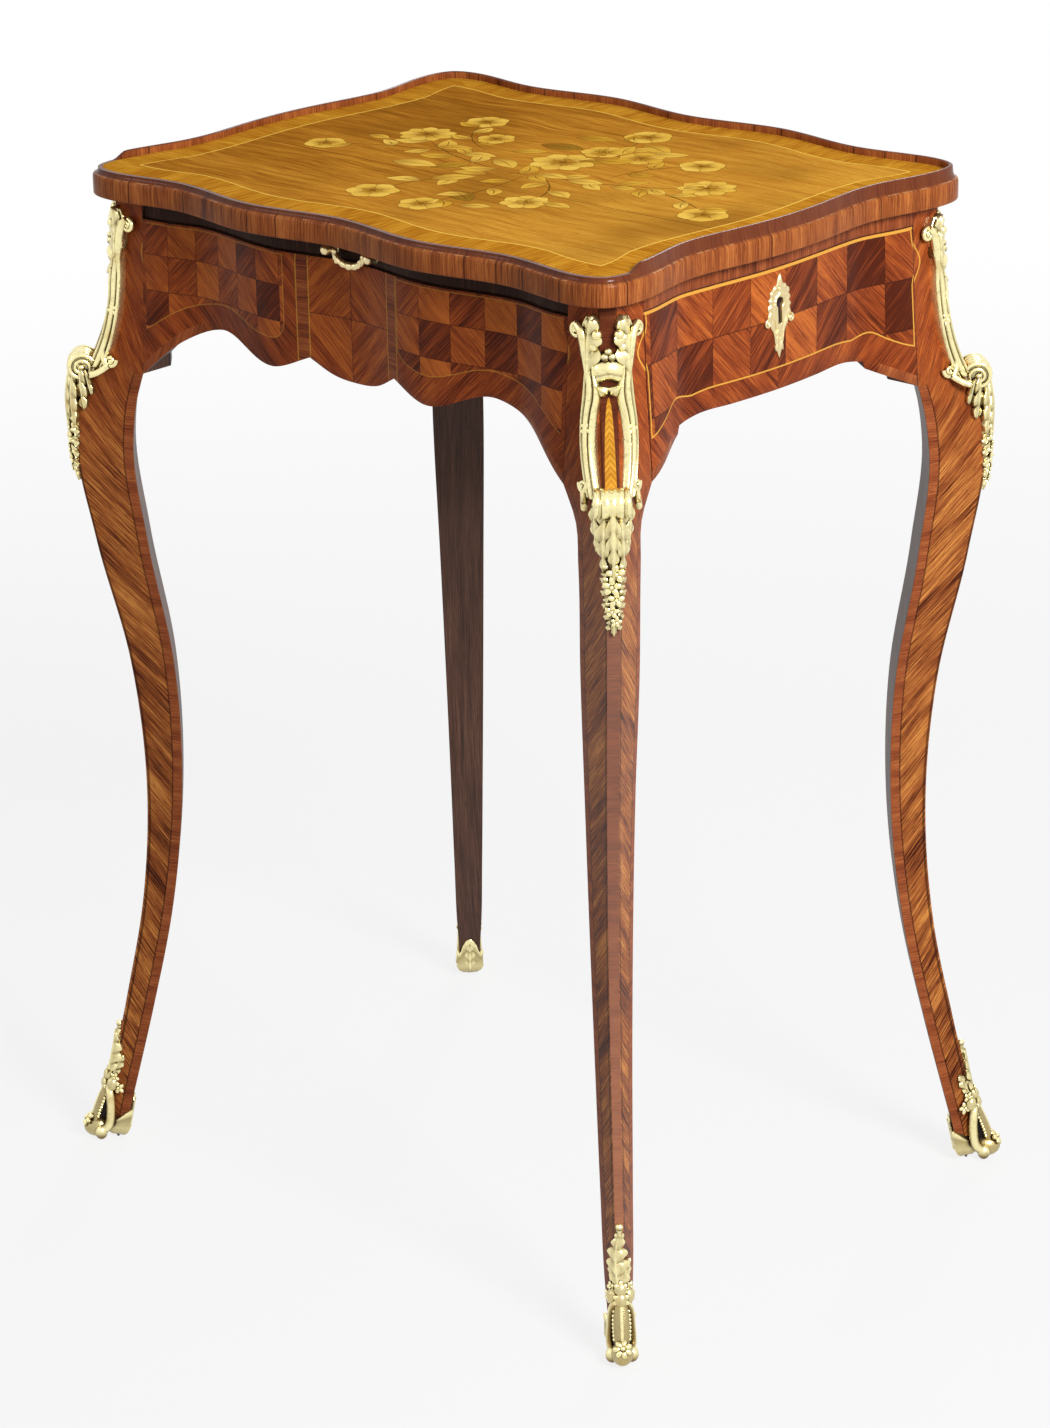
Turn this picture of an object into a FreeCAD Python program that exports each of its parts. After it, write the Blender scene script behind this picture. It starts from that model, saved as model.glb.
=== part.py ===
import FreeCAD, Part
import math
import os

os.makedirs("parts", exist_ok=True)

V = FreeCAD.Vector
ROOT2 = math.sqrt(2.0)
UP = V(0, 0, 1)

# All sizes are millimetres. The floor is Z = 0, the front is -Y and the drawer side is +X.

# Table top
TABLE_HEIGHT = 685.0
EDGE_HEIGHT = 13.5
FIELD_RISE = 3.4
LIP_RISE = 8.0
COVE_INSET = 3.4
LIP_WIDTH = 3.0
EDGE_WIDTH = 12.0
VENEER = 1.0
BANDING_WIDTH = 21.0
RAMP_LENGTH = 11.0
LIP_EASE = 0.75
COVE_STEPS = 3
EDGE_SPLITS = 2
CORNER_SPLITS = 3
KNOT_STEP = 1e-6

# Plan of the leg tops: outer faces of the posts
LEG_X = 210.5
LEG_Y = 157.0
POST_FACE = 30.5
POST_DEPTH = 18.0
ARRIS_HALF = 4.5
ANKLE_ARRIS_HALF = 2.4

# Serpentine plan of the top edge, measured out from the leg faces
TOP_FRONT_MEAN = 13.3
TOP_FRONT_SWELL = 4.7
TOP_FRONT_WAVE = 140.0
TOP_SIDE_MEAN = 5.3
TOP_SIDE_SWELL = 3.0
TOP_SIDE_WAVE = 176.0
WAVE_CLEAR = 23.0
CORNER_FRONT_BACK = 26.0
CORNER_FRONT_OUT = 15.2
CORNER_SIDE_BACK = 11.5
CORNER_SIDE_OUT = 11.6
CORNER_EASE = 10.9
CORNER_NOSE_X = 5.0
CORNER_NOSE_Y = 8.6

# Serpentine plan of the aprons, measured out from the leg faces
FRONT_MEAN = -2.0
FRONT_SWELL = 4.2
FRONT_WAVE = 132.0
SIDE_MEAN = -5.2
SIDE_SWELL = 2.3
SIDE_WAVE = 180.0
FRONT_APRON_DEPTH = 18.5
SIDE_APRON_DEPTH = 23.0
WAVE_STEP = 4
FLARE_LENGTH = 48.0
APRON_BANDS = 3
EDGE_SPANS = 9
CENTRE_SPANS = 8
TRIM = 2.0

# Heights hung from the underside of the top
POST_HEIGHT = 113.0
SLOT_HEIGHT = 13.0
RAIL_HEIGHT = 11.0

# Leg shaft: height, reach of the arris beyond its top, depth, half width
SOLE = 3.0
LEG_FROM_FLOOR = [
    (SOLE, 37.6, 10.6, 6.4),
    (24.0, 36.4, 14.0, 7.7),
    (45.0, 34.2, 17.2, 9.0),
    (100.0, 22.2, 19.2, 10.3),
    (175.0, 6.9, 20.6, 11.7),
    (262.0, 0.1, 24.0, 13.5),
]
# The same, with heights measured down from the foot of the post
LEG_FROM_POST = [
    (201.0, 6.5, 29.2, 15.5),
    (116.0, 24.6, 34.4, 17.8),
    (46.0, 33.8, 37.6, 18.5),
    (20.0, 30.7, 38.0, 19.6),
]
# Post: height above its foot, reach of the arris, turn of the faces in degrees
POST_STATIONS = [(0.0, 22.9, 14.0), (24.0, 13.4, 8.0), (50.0, 5.6, 2.0), (POST_HEIGHT, 0.0, 0.0)]

# Lower edge of the front and back aprons: distance from the middle, height above the post's foot
FRONT_LOBE = 24.5
FRONT_CUSP = (36.0, 35.5)
FRONT_CUSP_RETURN = (19.0, 27.0)
FRONT_SIDE_LOBE = (62.0, 25.8)
FRONT_ARCH = (118.0, 37.5)
FRONT_HAUNCH = (149.0, 25.5)
# Lower edge of the drawer front and the left apron
SIDE_LOW = 25.5
SIDE_FLAT = 70.0
SIDE_CUSP = (87.0, 22.5)
SIDE_STEP = (89.0, 17.5)
SIDE_HAUNCH = (108.0, 8.5)

# Corner mounts
MOUNT_THICK = 4.2
MOUNT_SIDES = 10
OVAL_SIDES = 16
MOUNT_RISE = 105.0
MOUNT_DROP = 73.0
RAIL_HALF = 16.5
CROWN_HALF = 14.0
OVAL_HALF_WIDTH = 8.2
OVAL_HALF_HEIGHT = 27.0
OVAL_CENTRE = 33.0
ROLL_RADIUS = 10.5
ROLL_HALF = 12.5
ROLL_REACH = 27.6
ROLL_UP = 0.5
ROLL_BELLY = 2.2
VOLUTE_RADIUS = 6.0
VOLUTE_THICK = 7.0
VOLUTE_FACE = 4.4
VOLUTE_UP = 91.5
VOLUTE_IN = 21.0
CROWN_TIP = 8.0
WAIST_HALF = 14.5
CURL_RADIUS = 5.2
CURL_THICK = 8.0
CURL_FACE = 3.6
CURL_UP = 4.0
CURL_REACH = 6.0
CURL_SIDE = 12.0
LEAF_HALF = 11.5
LEAF_LOW = 28.0
DROP_NECK = 5.2
DROP_HALF = 7.0
DROP_SWELL = 48.0
DROP_TIP = 1.2

# Foot mounts
SABOT_THICK = 2.6
SABOT_COLLAR = 40.0
SABOT_TIP = 87.0
SABOT_HEEL = 33.0
TOE_RADIUS = 6.6
TOE_HALF = 6.5
TOE_REACH = 49.5
TOE_UP = 11.5
TOE_BELLY = 1.6
TOE_NECK = 4.2
TOE_SPANS = 4
TOE_SWELL = 3.0
TOE_WALL = 2.2
LOOP_HALF_WIDTH = 1.8
LOOP_HALF_LENGTH = 7.0
SABOT_LEAF = 6.0
COLLAR_DEPTH = 6.0

# Writing slide
SLIDE_THICK = 12.0
SLIDE_BACK = 122.0
SLIDE_SETBACK = 2.0
SLIDE_CLAMP = 24.0
LEATHER_THICK = 1.2
LEATHER_BORDER = 26.0
STOP_WIDTH = 8.0
STOP_DROP = 6.0
STOP_SIDE = 130.0
STOP_BACK = 86.0
LEDGER_WIDTH = 14.5
LEDGER_HEIGHT = 10.0
FENCE_WIDTH = 3.2
LEDGER_CLEAR = 0.4
RUN_GAP = 0.3
SIDE_GAP = 0.4
GLUE_GAP = 0.02

# Slide pull
POST_SPACING = 36.0
PULL_POST_RADIUS = 3.2
PULL_COLLAR_RADIUS = 5.0
PULL_COLLAR = 1.6
PULL_REACH = 8.4
PULL_CAP = 2.4
PULL_CAP_RADIUS = 1.6
PULL_SIDES = 12
PIVOT_REACH = 5.4
PIVOT_RADIUS = 1.5
PIVOT_FIT = 0.06
BAIL_RADIUS = 2.1
BAIL_SWELL = 2.9
BAIL_DROP = 10.4
BAIL_SPANS = 8
BAIL_SIDES = 8
BAIL_GAP = 0.4

# Drawer and its carcase
BOX_SIDE = 8.0
BOX_BACK = 9.0
BOX_BOTTOM = 4.0
BOX_GROOVE = 4.7
BOX_TONGUE = 4.0
BOX_TOP_GAP = 1.0
BOX_HALF = 121.0
BOX_CLEAR = 25.0
RUNNER_HEIGHT = 6.0
RUNNER_WIDTH = 13.0
RUNNER_UP = 37.0
GUIDE_HEIGHT = 25.0
DRAWER_GAP = 0.5
STOP_BLOCK = 18.0
STOP_BLOCK_SIDE = 62.0

# Lock
LOCK_HALF = 25.0
LOCK_HEIGHT = 46.0
LOCK_DEPTH = 9.0
LOCK_PLATE = 1.8
BOLT_HALF = 8.5
BOLT_THICK = 4.0
BOLT_LENGTH = 14.0
BOLT_THROW = 6.0
BOLT_CHEEK = 3.0
MORTISE_GAP = 0.8
PIN_RADIUS = 1.3
PIN_LENGTH = 15.0

# Escutcheon and keyhole, below the top of the drawer front
PLATE_THICK = 2.6
PLATE_TOP = 4.0
PLATE_LONG = 52.0
PLATE_SIDE = [(3.6, 4.2), (5.6, 11.0), (12.0, 19.5), (13.0, 31.0), (8.0, 43.0)]
PLATE_SPANS = 4
KEY_DOWN = 21.5
KEY_RADIUS = 3.1
KEY_SLOT_HALF = 1.4
KEY_SLOT = 13.0

# Derived levels
TOP_UNDER = TABLE_HEIGHT - LIP_RISE - EDGE_HEIGHT
BAND_TOP = TOP_UNDER + EDGE_HEIGHT
FIELD_TOP = BAND_TOP + FIELD_RISE
CORE_TOP = FIELD_TOP - VENEER
POST_FOOT = TOP_UNDER - POST_HEIGHT
SLOT_FLOOR = TOP_UNDER - SLOT_HEIGHT
RAIL_UNDER = TOP_UNDER - RAIL_HEIGHT
DIAGONAL = LEG_X - LEG_Y
ARRIS_TOP = LEG_Y * ROOT2 - ARRIS_HALF
JOINT_X = LEG_X - POST_FACE
JOINT_Y = LEG_Y - POST_FACE
FRONT_IN = LEG_Y - FRONT_APRON_DEPTH
SIDE_IN = LEG_X - SIDE_APRON_DEPTH
SLIDE_HALF = JOINT_X - LEDGER_CLEAR - FENCE_WIDTH - SIDE_GAP
BOX_LENGTH = SIDE_IN + SIDE_IN - BOX_CLEAR
BOX_HEIGHT = SLOT_FLOOR - POST_FOOT - LEDGER_HEIGHT - RUNNER_UP - RUNNER_HEIGHT - BOX_TOP_GAP
VENEER_INSET = COVE_INSET + LIP_WIDTH
FRONT_PLAN = (FRONT_MEAN, -FRONT_SWELL, FRONT_WAVE)
SIDE_PLAN = (SIDE_MEAN, SIDE_SWELL, SIDE_WAVE)


def save(name, shape):
    """Writes one named piece as a STEP file."""
    shape.exportStep("parts/" + name + ".step")


def box(x0, x1, y0, y1, z0, z1):
    """Box between two corners given in any order."""
    low = V(min(x0, x1), min(y0, y1), min(z0, z1))
    return Part.makeBox(abs(x1 - x0), abs(y1 - y0), abs(z1 - z0), low)


def polygon(points):
    """Closed wire of straight edges."""
    return Part.makePolygon(points + [points[0]])


def spline(points):
    """Edge that runs smoothly through the points."""
    curve = Part.BSplineCurve()
    curve.interpolate(points)
    return curve.toShape()


def prism(wire, travel):
    """Solid of a flat closed wire pushed along a vector."""
    return Part.Face(wire).extrude(travel)


def lofted(sections):
    """Solid through sections of equally many corners, with flat facets from each one to the next."""
    faces = [Part.Face(polygon(sections[0])), Part.Face(polygon(sections[-1]))]
    for near, far in zip(sections, sections[1:]):
        for i in range(len(near)):
            faces.append(Part.Face(polygon([near[i - 1], near[i], far[i]])))
            faces.append(Part.Face(polygon([near[i - 1], far[i], far[i - 1]])))
    solid = Part.makeSolid(Part.makeShell(faces))
    if solid.Volume < 0:
        solid = solid.reversed()
    return solid.removeSplitter()


def turned(profile, sides, centre, axis):
    """Turned form on an axis, from (radius, distance) pairs, as a loft of many-sided rings."""
    turns = [2 * math.pi * (i + 0.5) / sides for i in range(sides)]
    solid = lofted([[V(r * math.cos(t), r * math.sin(t), along) for t in turns] for r, along in profile])
    solid.Placement = FreeCAD.Placement(centre, FreeCAD.Rotation(UP, axis))
    return solid


def front_back(shape):
    """Copy on the other long side."""
    return shape.mirror(V(0, 0, 0), V(0, 1, 0))


def left_right(shape):
    """Copy on the other short side."""
    return shape.mirror(V(0, 0, 0), V(1, 0, 0))


def leg_point(u, v, z):
    """Point at the front right leg: u out along its diagonal, v across it towards the drawer side."""
    return V(DIAGONAL + (u + v) / ROOT2, (v - u) / ROOT2, z)


def face_turn(reach, half, degrees):
    """Where the front face of a post, turned about its arris, meets the apron joint, as (u, -v)."""
    arris = ARRIS_TOP + reach
    x = DIAGONAL + (arris - half) / ROOT2
    y = (arris + half) / ROOT2
    y_end = y - (x - JOINT_X) * math.tan(math.radians(degrees))
    return ((JOINT_X - DIAGONAL) + y_end) / ROOT2, (y_end - (JOINT_X - DIAGONAL)) / ROOT2


def joint_out(height):
    """How far the leg face stands out from the post's top at the apron joint, at a height above its foot."""
    stations = [(h, face_turn(r, ARRIS_HALF, t)) for h, r, t in POST_STATIONS]
    outs = [(h, (u + v) / ROOT2 - LEG_Y) for h, (u, v) in stations]
    for (h0, o0), (h1, o1) in zip(outs, outs[1:]):
        if height <= h1:
            return o0 + (o1 - o0) * (height - h0) / (h1 - h0)
    return outs[-1][1]


def shaft_stations():
    """All stations of the leg shaft as (height, reach, depth, half width, arris half width)."""
    rows = list(LEG_FROM_FLOOR)
    rows += [(POST_FOOT - down, reach, depth, half) for down, reach, depth, half in LEG_FROM_POST]
    reach, degrees = POST_STATIONS[0][1], POST_STATIONS[0][2]
    u, v = face_turn(reach, ARRIS_HALF, degrees)
    rows.append((POST_FOOT, reach, ARRIS_TOP + reach - u, v))
    taper = (ARRIS_HALF - ANKLE_ARRIS_HALF) / (POST_FOOT - SOLE)
    return [(z, r, d, w, ANKLE_ARRIS_HALF + taper * (z - SOLE)) for z, r, d, w in rows]


def shaft_sections(grow):
    """Wedge sections up the leg shaft, with a narrow arris outside and a flat inner face, grown all round."""
    sections = []
    for z, reach, depth, half, arris in shaft_stations():
        slope = (half - arris) / depth
        side = grow * math.sqrt(1.0 + slope * slope)
        u = ARRIS_TOP + reach
        front = arris + side - slope * grow
        back = half + side + slope * grow
        sections.append([
            leg_point(u + grow, -front, z),
            leg_point(u + grow, front, z),
            leg_point(u - depth - grow, back, z),
            leg_point(u - depth - grow, -back, z),
        ])
    return sections


def shaft(grow):
    """Leg shaft: a smooth loft of its wedge sections."""
    return Part.makeLoft([polygon(section) for section in shaft_sections(grow)], True, False)


def post(grow):
    """Leg post: the two outer faces meet the apron ends, with the inner corner cut off."""
    sections = []
    for height, reach, degrees in POST_STATIONS:
        z = POST_FOOT + height
        u_end, v_end = face_turn(reach, ARRIS_HALF, degrees)
        u = ARRIS_TOP + reach
        slope = (v_end - ARRIS_HALF) / (u - u_end)
        side = grow * math.sqrt(1.0 + slope * slope)
        front = ARRIS_HALF + side - slope * grow
        inner_x = JOINT_X - DIAGONAL
        inner_y = LEG_Y - POST_DEPTH
        u_in = (inner_x + inner_y) / ROOT2
        v_in = (inner_y - inner_x) / ROOT2
        sections.append([
            leg_point(u + grow, -front, z),
            leg_point(u + grow, front, z),
            leg_point(u_end, v_end + side, z),
            leg_point(u_in, v_in, z),
            leg_point(u_in, -v_in, z),
            leg_point(u_end, -v_end - side, z),
        ])
    return lofted(sections)


def across(points, u_from, u_to):
    """Solid seen from outside along the leg's diagonal as an outline of (v, z) points."""
    wire = polygon([leg_point(u_from, v, z) for v, z in points])
    travel = leg_point(u_to, 0, 0) - leg_point(u_from, 0, 0)
    return prism(wire, travel)


def mirrored(points):
    """Outline made of a right half, top to bottom, and its mirror image."""
    return points + [(-v, z) for v, z in reversed(points)]


def roller(u, z, radius, half, belly):
    """Barrel across the leg's diagonal: a drum that narrows by the belly towards each end."""
    rim = radius - belly
    swell = half / 2.0
    profile = [(rim, -half), (radius, -swell), (radius, swell), (rim, half)]
    return turned(profile, MOUNT_SIDES, leg_point(u, 0, z), leg_point(0, 1, 0) - leg_point(0, 0, 0))


def build_leg():
    """Front right leg: cabriole shaft and square post in one piece."""
    return shaft(0.0).fuse(post(0.0)).removeSplitter()


def build_chute(leg):
    """Corner mount of the front right leg, seated on the post and the knee."""
    top = POST_FOOT + MOUNT_RISE
    crown = mirrored([
        (CROWN_TIP, top),
        (CROWN_HALF, top - CROWN_TIP),
        (RAIL_HALF, POST_FOOT + VOLUTE_UP),
        (WAIST_HALF, POST_FOOT + VOLUTE_UP - VOLUTE_RADIUS),
        (RAIL_HALF, POST_FOOT + OVAL_CENTRE),
        (RAIL_HALF, POST_FOOT),
    ])
    drop = mirrored([
        (RAIL_HALF, POST_FOOT),
        (LEAF_HALF, POST_FOOT - ROLL_RADIUS),
        (LEAF_HALF, POST_FOOT - LEAF_LOW),
        (DROP_NECK, POST_FOOT - LEAF_LOW - MOUNT_THICK),
        (DROP_HALF, POST_FOOT - DROP_SWELL),
        (DROP_TIP, POST_FOOT - MOUNT_DROP),
    ])
    out = ARRIS_TOP + ROLL_REACH + ROLL_RADIUS + MOUNT_THICK
    plate = post(MOUNT_THICK).common(across(crown, ARRIS_TOP - RAIL_HALF - MOUNT_THICK, out))
    tail = shaft(MOUNT_THICK).common(across(drop, ARRIS_TOP + MOUNT_THICK, out))
    turns = [2 * math.pi * i / OVAL_SIDES for i in range(OVAL_SIDES)]
    oval_z = POST_FOOT + OVAL_CENTRE
    oval = [(OVAL_HALF_WIDTH * math.cos(t), oval_z + OVAL_HALF_HEIGHT * math.sin(t)) for t in turns]
    hole = across(oval, ARRIS_TOP - RAIL_HALF, out)
    mount = plate.fuse(tail).cut(hole)
    roll_u = ARRIS_TOP + ROLL_REACH
    mount = mount.fuse(roller(roll_u, POST_FOOT + ROLL_UP, ROLL_RADIUS, ROLL_HALF, ROLL_BELLY))
    z = POST_FOOT + VOLUTE_UP
    front = V(LEG_X - VOLUTE_IN, -LEG_Y, z)
    side = V(LEG_X, VOLUTE_IN - LEG_Y, z)
    for centre, axis in ((front, V(0, -1, 0)), (side, V(1, 0, 0))):
        mount = mount.fuse(turned([(VOLUTE_RADIUS, 0), (VOLUTE_FACE, VOLUTE_THICK)], MOUNT_SIDES, centre, axis))
    for side in (-1, 1):
        centre = leg_point(ARRIS_TOP + CURL_REACH, side * CURL_SIDE, POST_FOOT + CURL_UP)
        axis = leg_point(1, side, 0) - leg_point(0, 0, 0)
        mount = mount.fuse(turned([(CURL_RADIUS, 0), (CURL_FACE, CURL_THICK)], MOUNT_SIDES, centre, axis))
    return mount.cut(leg)


def build_sabot(leg):
    """Foot mount of the front right leg: cup with sole, leaf tip up the arris, heel leaf, looped neck and toe."""
    sleeve = lofted(shaft_sections(SABOT_THICK))
    foot, ankle = shaft_stations()[0], shaft_stations()[2]
    half = ankle[3] + 2 * SABOT_THICK
    out = ARRIS_TOP + TOE_REACH
    inside = ARRIS_TOP + ankle[1] - ankle[2] - 2 * SABOT_THICK
    cup = [(half, SOLE), (half, SABOT_COLLAR), (SABOT_LEAF, SABOT_COLLAR + SABOT_LEAF), (DROP_TIP, SABOT_TIP)]
    front = sleeve.common(across(mirrored(cup), ARRIS_TOP + ankle[1] - COLLAR_DEPTH, out))
    heel = [(half, SOLE), (half, SABOT_HEEL / 2.0), (DROP_TIP, SABOT_HEEL)]
    back = sleeve.common(across(mirrored(heel), inside, out))
    u_out = ARRIS_TOP + foot[1] + SABOT_THICK
    u_in = ARRIS_TOP + foot[1] - foot[2] - SABOT_THICK
    front_half = foot[4] + SABOT_THICK
    back_half = foot[3] + SABOT_THICK
    tread = [leg_point(u_out, -front_half, 0), leg_point(u_out, front_half, 0)]
    tread += [leg_point(u_in, back_half, 0), leg_point(u_in, -back_half, 0)]
    sole = prism(polygon(tread), UP * SOLE)
    toe_u = ARRIS_TOP + TOE_REACH
    toe = roller(toe_u, TOE_UP, TOE_RADIUS, TOE_HALF, TOE_BELLY)
    start = leg_point(ARRIS_TOP + ankle[1] + SABOT_THICK, -TOE_NECK, SABOT_COLLAR)
    crest = leg_point(toe_u, -TOE_NECK, TOE_UP + TOE_RADIUS / 2.0)
    width = leg_point(0, 2 * TOE_NECK, 0) - leg_point(0, 0, 0)
    slant = (crest - start).normalize()
    ahead = slant.cross(width).normalize()
    middle = (start + crest) / 2.0
    low = [leg_point(toe_u, -TOE_NECK, TOE_UP - TOE_RADIUS / 2.0), leg_point(u_out, -TOE_NECK, 0)]
    mid_u = u_out - foot[2] / 2.0
    low += [leg_point(mid_u, -TOE_NECK, 0), leg_point(mid_u, -TOE_NECK, SABOT_COLLAR)]
    bend = Part.Arc(start, middle + ahead * TOE_SWELL, crest).toShape().discretize(TOE_SPANS + 1)
    centre = middle + ahead * (TOE_SWELL - TOE_WALL - LOOP_HALF_WIDTH)
    turns = [2 * math.pi * i / MOUNT_SIDES for i in range(MOUNT_SIDES)]
    loop = [centre + ahead * LOOP_HALF_WIDTH * math.cos(t) + slant * LOOP_HALF_LENGTH * math.sin(t) for t in turns]
    neck = prism(polygon(bend + low), width).cut(prism(polygon(loop), width))
    return front.fuse(back).fuse(sole).fuse(neck).fuse(toe).cut(leg)


def top_out_front(x):
    """Reach of the top's front edge beyond the leg faces: a cosine serpentine, hollow in the middle."""
    return TOP_FRONT_MEAN - TOP_FRONT_SWELL * math.cos(2 * math.pi * x / TOP_FRONT_WAVE)


def top_out_side(y):
    """Reach of the top's side edge beyond the leg faces: a cosine serpentine, full in the middle."""
    return TOP_SIDE_MEAN + TOP_SIDE_SWELL * math.cos(2 * math.pi * y / TOP_SIDE_WAVE)


def front_wave(inset, step):
    """Plan points of the top's front edge, a number to each wave, from its middle to near the corner."""
    run = TOP_FRONT_WAVE / step
    steps = range(int((LEG_X - CORNER_FRONT_BACK - WAVE_CLEAR) / run) + 1)
    return [(i * run, LEG_Y + top_out_front(i * run) - inset) for i in steps]


def side_wave(inset, step):
    """Plan points of the top's side edge, a number to each wave, from its middle to near the corner."""
    run = TOP_SIDE_WAVE / step
    steps = range(int((LEG_Y - CORNER_SIDE_BACK - WAVE_CLEAR) / run) + 1)
    return [(LEG_X + top_out_side(i * run) - inset, i * run) for i in steps]


def top_quarter(inset):
    """Plan points of one quarter of the top, from the front middle round to the side middle."""
    shift = inset / ROOT2
    front_out = LEG_Y + CORNER_FRONT_OUT - inset
    points = front_wave(inset, WAVE_STEP)
    points.append((LEG_X - CORNER_FRONT_BACK, front_out))
    points.append((LEG_X - CORNER_EASE - shift, front_out))
    points.append((LEG_X + CORNER_NOSE_X - shift, LEG_Y + CORNER_NOSE_Y - shift))
    points.append((LEG_X + CORNER_SIDE_OUT - inset, LEG_Y - CORNER_SIDE_BACK))
    return points + side_wave(inset, WAVE_STEP)[::-1]


def top_curve(inset):
    """Closed plan curve of the top edge, anticlockwise from the middle of the front."""
    quarter = top_quarter(inset)
    right = [V(x, -y, 0) for x, y in quarter[:-1]] + [V(x, y, 0) for x, y in reversed(quarter)]
    left = [V(-p.x, p.y, 0) for p in reversed(right[1:-1])]
    curve = Part.BSplineCurve()
    curve.interpolate(right + left, PeriodicFlag=True)
    return curve


def slab(curve, z, height):
    """Sheet inside a closed plan curve."""
    wire = Part.Wire([curve.toShape()])
    wire.translate(UP * z)
    return prism(wire, UP * height)


def field_slab():
    """Veneered field: four serpentine edges that meet in points at the corners."""
    inset = VENEER_INSET + BANDING_WIDTH
    step = WAVE_STEP * EDGE_SPLITS
    corner = (LEG_X + CORNER_SIDE_OUT - inset, LEG_Y + CORNER_FRONT_OUT - inset)
    quarter = front_wave(inset, step) + [corner] + side_wave(inset, step)[::-1]
    right = [V(x, -y, CORE_TOP) for x, y in quarter[:-1]] + [V(x, y, CORE_TOP) for x, y in reversed(quarter)]
    left = [V(-p.x, p.y, CORE_TOP) for p in reversed(right[1:-1])]
    return prism(polygon(right + left), UP * VENEER)


def edge_profile(gallery):
    """Section of the top's edge as (inset, height) points: hollow only, or hollow and raised lip."""
    foot = [(EDGE_WIDTH, CORE_TOP), (EDGE_WIDTH, TOP_UNDER), (0.0, TOP_UNDER), (0.0, BAND_TOP)]
    rise = (TABLE_HEIGHT if gallery else FIELD_TOP) - BAND_TOP
    turns = [i * math.pi / 2.0 / COVE_STEPS for i in range(1, COVE_STEPS)]
    if gallery:
        rise -= LIP_EASE
        crest = [(COVE_INSET, BAND_TOP + rise), (COVE_INSET + LIP_EASE, TABLE_HEIGHT)]
        crest += [(VENEER_INSET - LIP_EASE, TABLE_HEIGHT), (VENEER_INSET, TABLE_HEIGHT - LIP_EASE)]
    else:
        crest = [(COVE_INSET, FIELD_TOP), (VENEER_INSET, FIELD_TOP)]
    cove = [(COVE_INSET * math.sin(t), BAND_TOP + rise * (1.0 - math.cos(t))) for t in turns]
    return foot + cove + crest + [(VENEER_INSET, CORE_TOP)]


def snapped(at):
    """Parameter of a curve at the nearest of its fine steps, so that equal ones compare as equal."""
    return round(at / KNOT_STEP) * KNOT_STEP


def edge_length(curve, first, last, gallery, splits):
    """Moulding of the top's edge between two parameters of its plan curve: mitred lengths of one profile."""
    turn = curve.LastParameter - curve.FirstParameter
    knots = sorted({snapped(k + lap) for k in curve.getKnots() for lap in (0.0, turn)})
    stops = [k for k in knots if first <= k <= last]
    places = [a + (b - a) * i / splits for a, b in zip(stops, stops[1:]) for i in range(splits)] + [last]
    feet = [curve.value(at) for at in places]
    chords = [UP.cross(b - a).normalize() for a, b in zip(feet, feet[1:])]
    mitres = [(a + b) * (1.0 / (1.0 + a.dot(b))) for a, b in zip(chords, chords[1:])]
    ends = [UP.cross(curve.tangent(at)[0]).normalize() for at in (first, last)]
    profile = edge_profile(gallery)
    inwards = [ends[0]] + mitres + [ends[1]]
    return lofted([[foot + inward * i + UP * z for i, z in profile] for foot, inward in zip(feet, inwards)])


def face_out(a, z, span, reach, plan):
    """Reach of an apron's face at a distance from its middle: a cosine serpentine that flares to the legs."""
    mean, rise, wave = plan
    out = mean + rise * math.cos(2 * math.pi * a / wave)
    ease = max(0.0, (abs(a) - span + FLARE_LENGTH) / FLARE_LENGTH)
    ease = ease * ease * (3.0 - 2.0 * ease)
    return reach + out + ease * (joint_out(z - POST_FOOT) - out)


def lower_points(curves):
    """Points along a lower edge made of curves, each given with its number of spans."""
    points = []
    for curve, spans in curves:
        points += curve.discretize(spans + 1)[:-1]
    return points + [curves[-1][0].discretize(2)[-1]]


def apron(curves, span, reach, depth, plan, place, top):
    """Apron lofted through upright sections that stand on its lower edge, trimmed true at top and back."""
    sections = []
    for low in lower_points(curves):
        foot = POST_FOOT + low.z
        rises = [foot + (top + TRIM - foot) * i / APRON_BANDS for i in range(APRON_BANDS + 1)]
        inner = reach - depth - TRIM
        section = [place(low.x, inner, foot)]
        section += [place(low.x, face_out(low.x, z, span, reach, plan), z) for z in rises]
        section.append(place(low.x, inner, top + TRIM))
        sections.append(section)
    corners = [place(-span, reach - depth, POST_FOOT), place(span, reach + depth, top)]
    trim = box(corners[0].x, corners[1].x, corners[0].y, corners[1].y, POST_FOOT, top)
    return lofted(sections).common(trim)


def front_place(a, o, z):
    """Front apron: along is X, out is -Y."""
    return V(a, -o, z)


def side_place(a, o, z):
    """Drawer side: along is Y, out is +X."""
    return V(o, a, z)


def along(pair):
    """Point of an apron's lower edge: distance from the middle, height above the post's foot."""
    return V(pair[0], 0, pair[1])


def opposite(points):
    """The same lower edge on the other side of the middle, run the other way."""
    return [V(-p.x, 0, p.z) for p in reversed(points)]


def front_apron(top):
    """Front apron up to a height, with its shaped lower edge."""
    right = [V(JOINT_X, 0, 0)]
    right += [along(pair) for pair in (FRONT_HAUNCH, FRONT_ARCH, FRONT_SIDE_LOBE, FRONT_CUSP)]
    knee = [along(FRONT_CUSP), along(FRONT_CUSP_RETURN)]
    centre = knee + [V(0, 0, FRONT_LOBE)] + opposite(knee)
    curves = [(spline(right), EDGE_SPANS), (spline(centre), CENTRE_SPANS)]
    curves.append((spline(opposite(right)), EDGE_SPANS))
    return apron(curves, JOINT_X, LEG_Y, FRONT_APRON_DEPTH, FRONT_PLAN, front_place, top)


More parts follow.
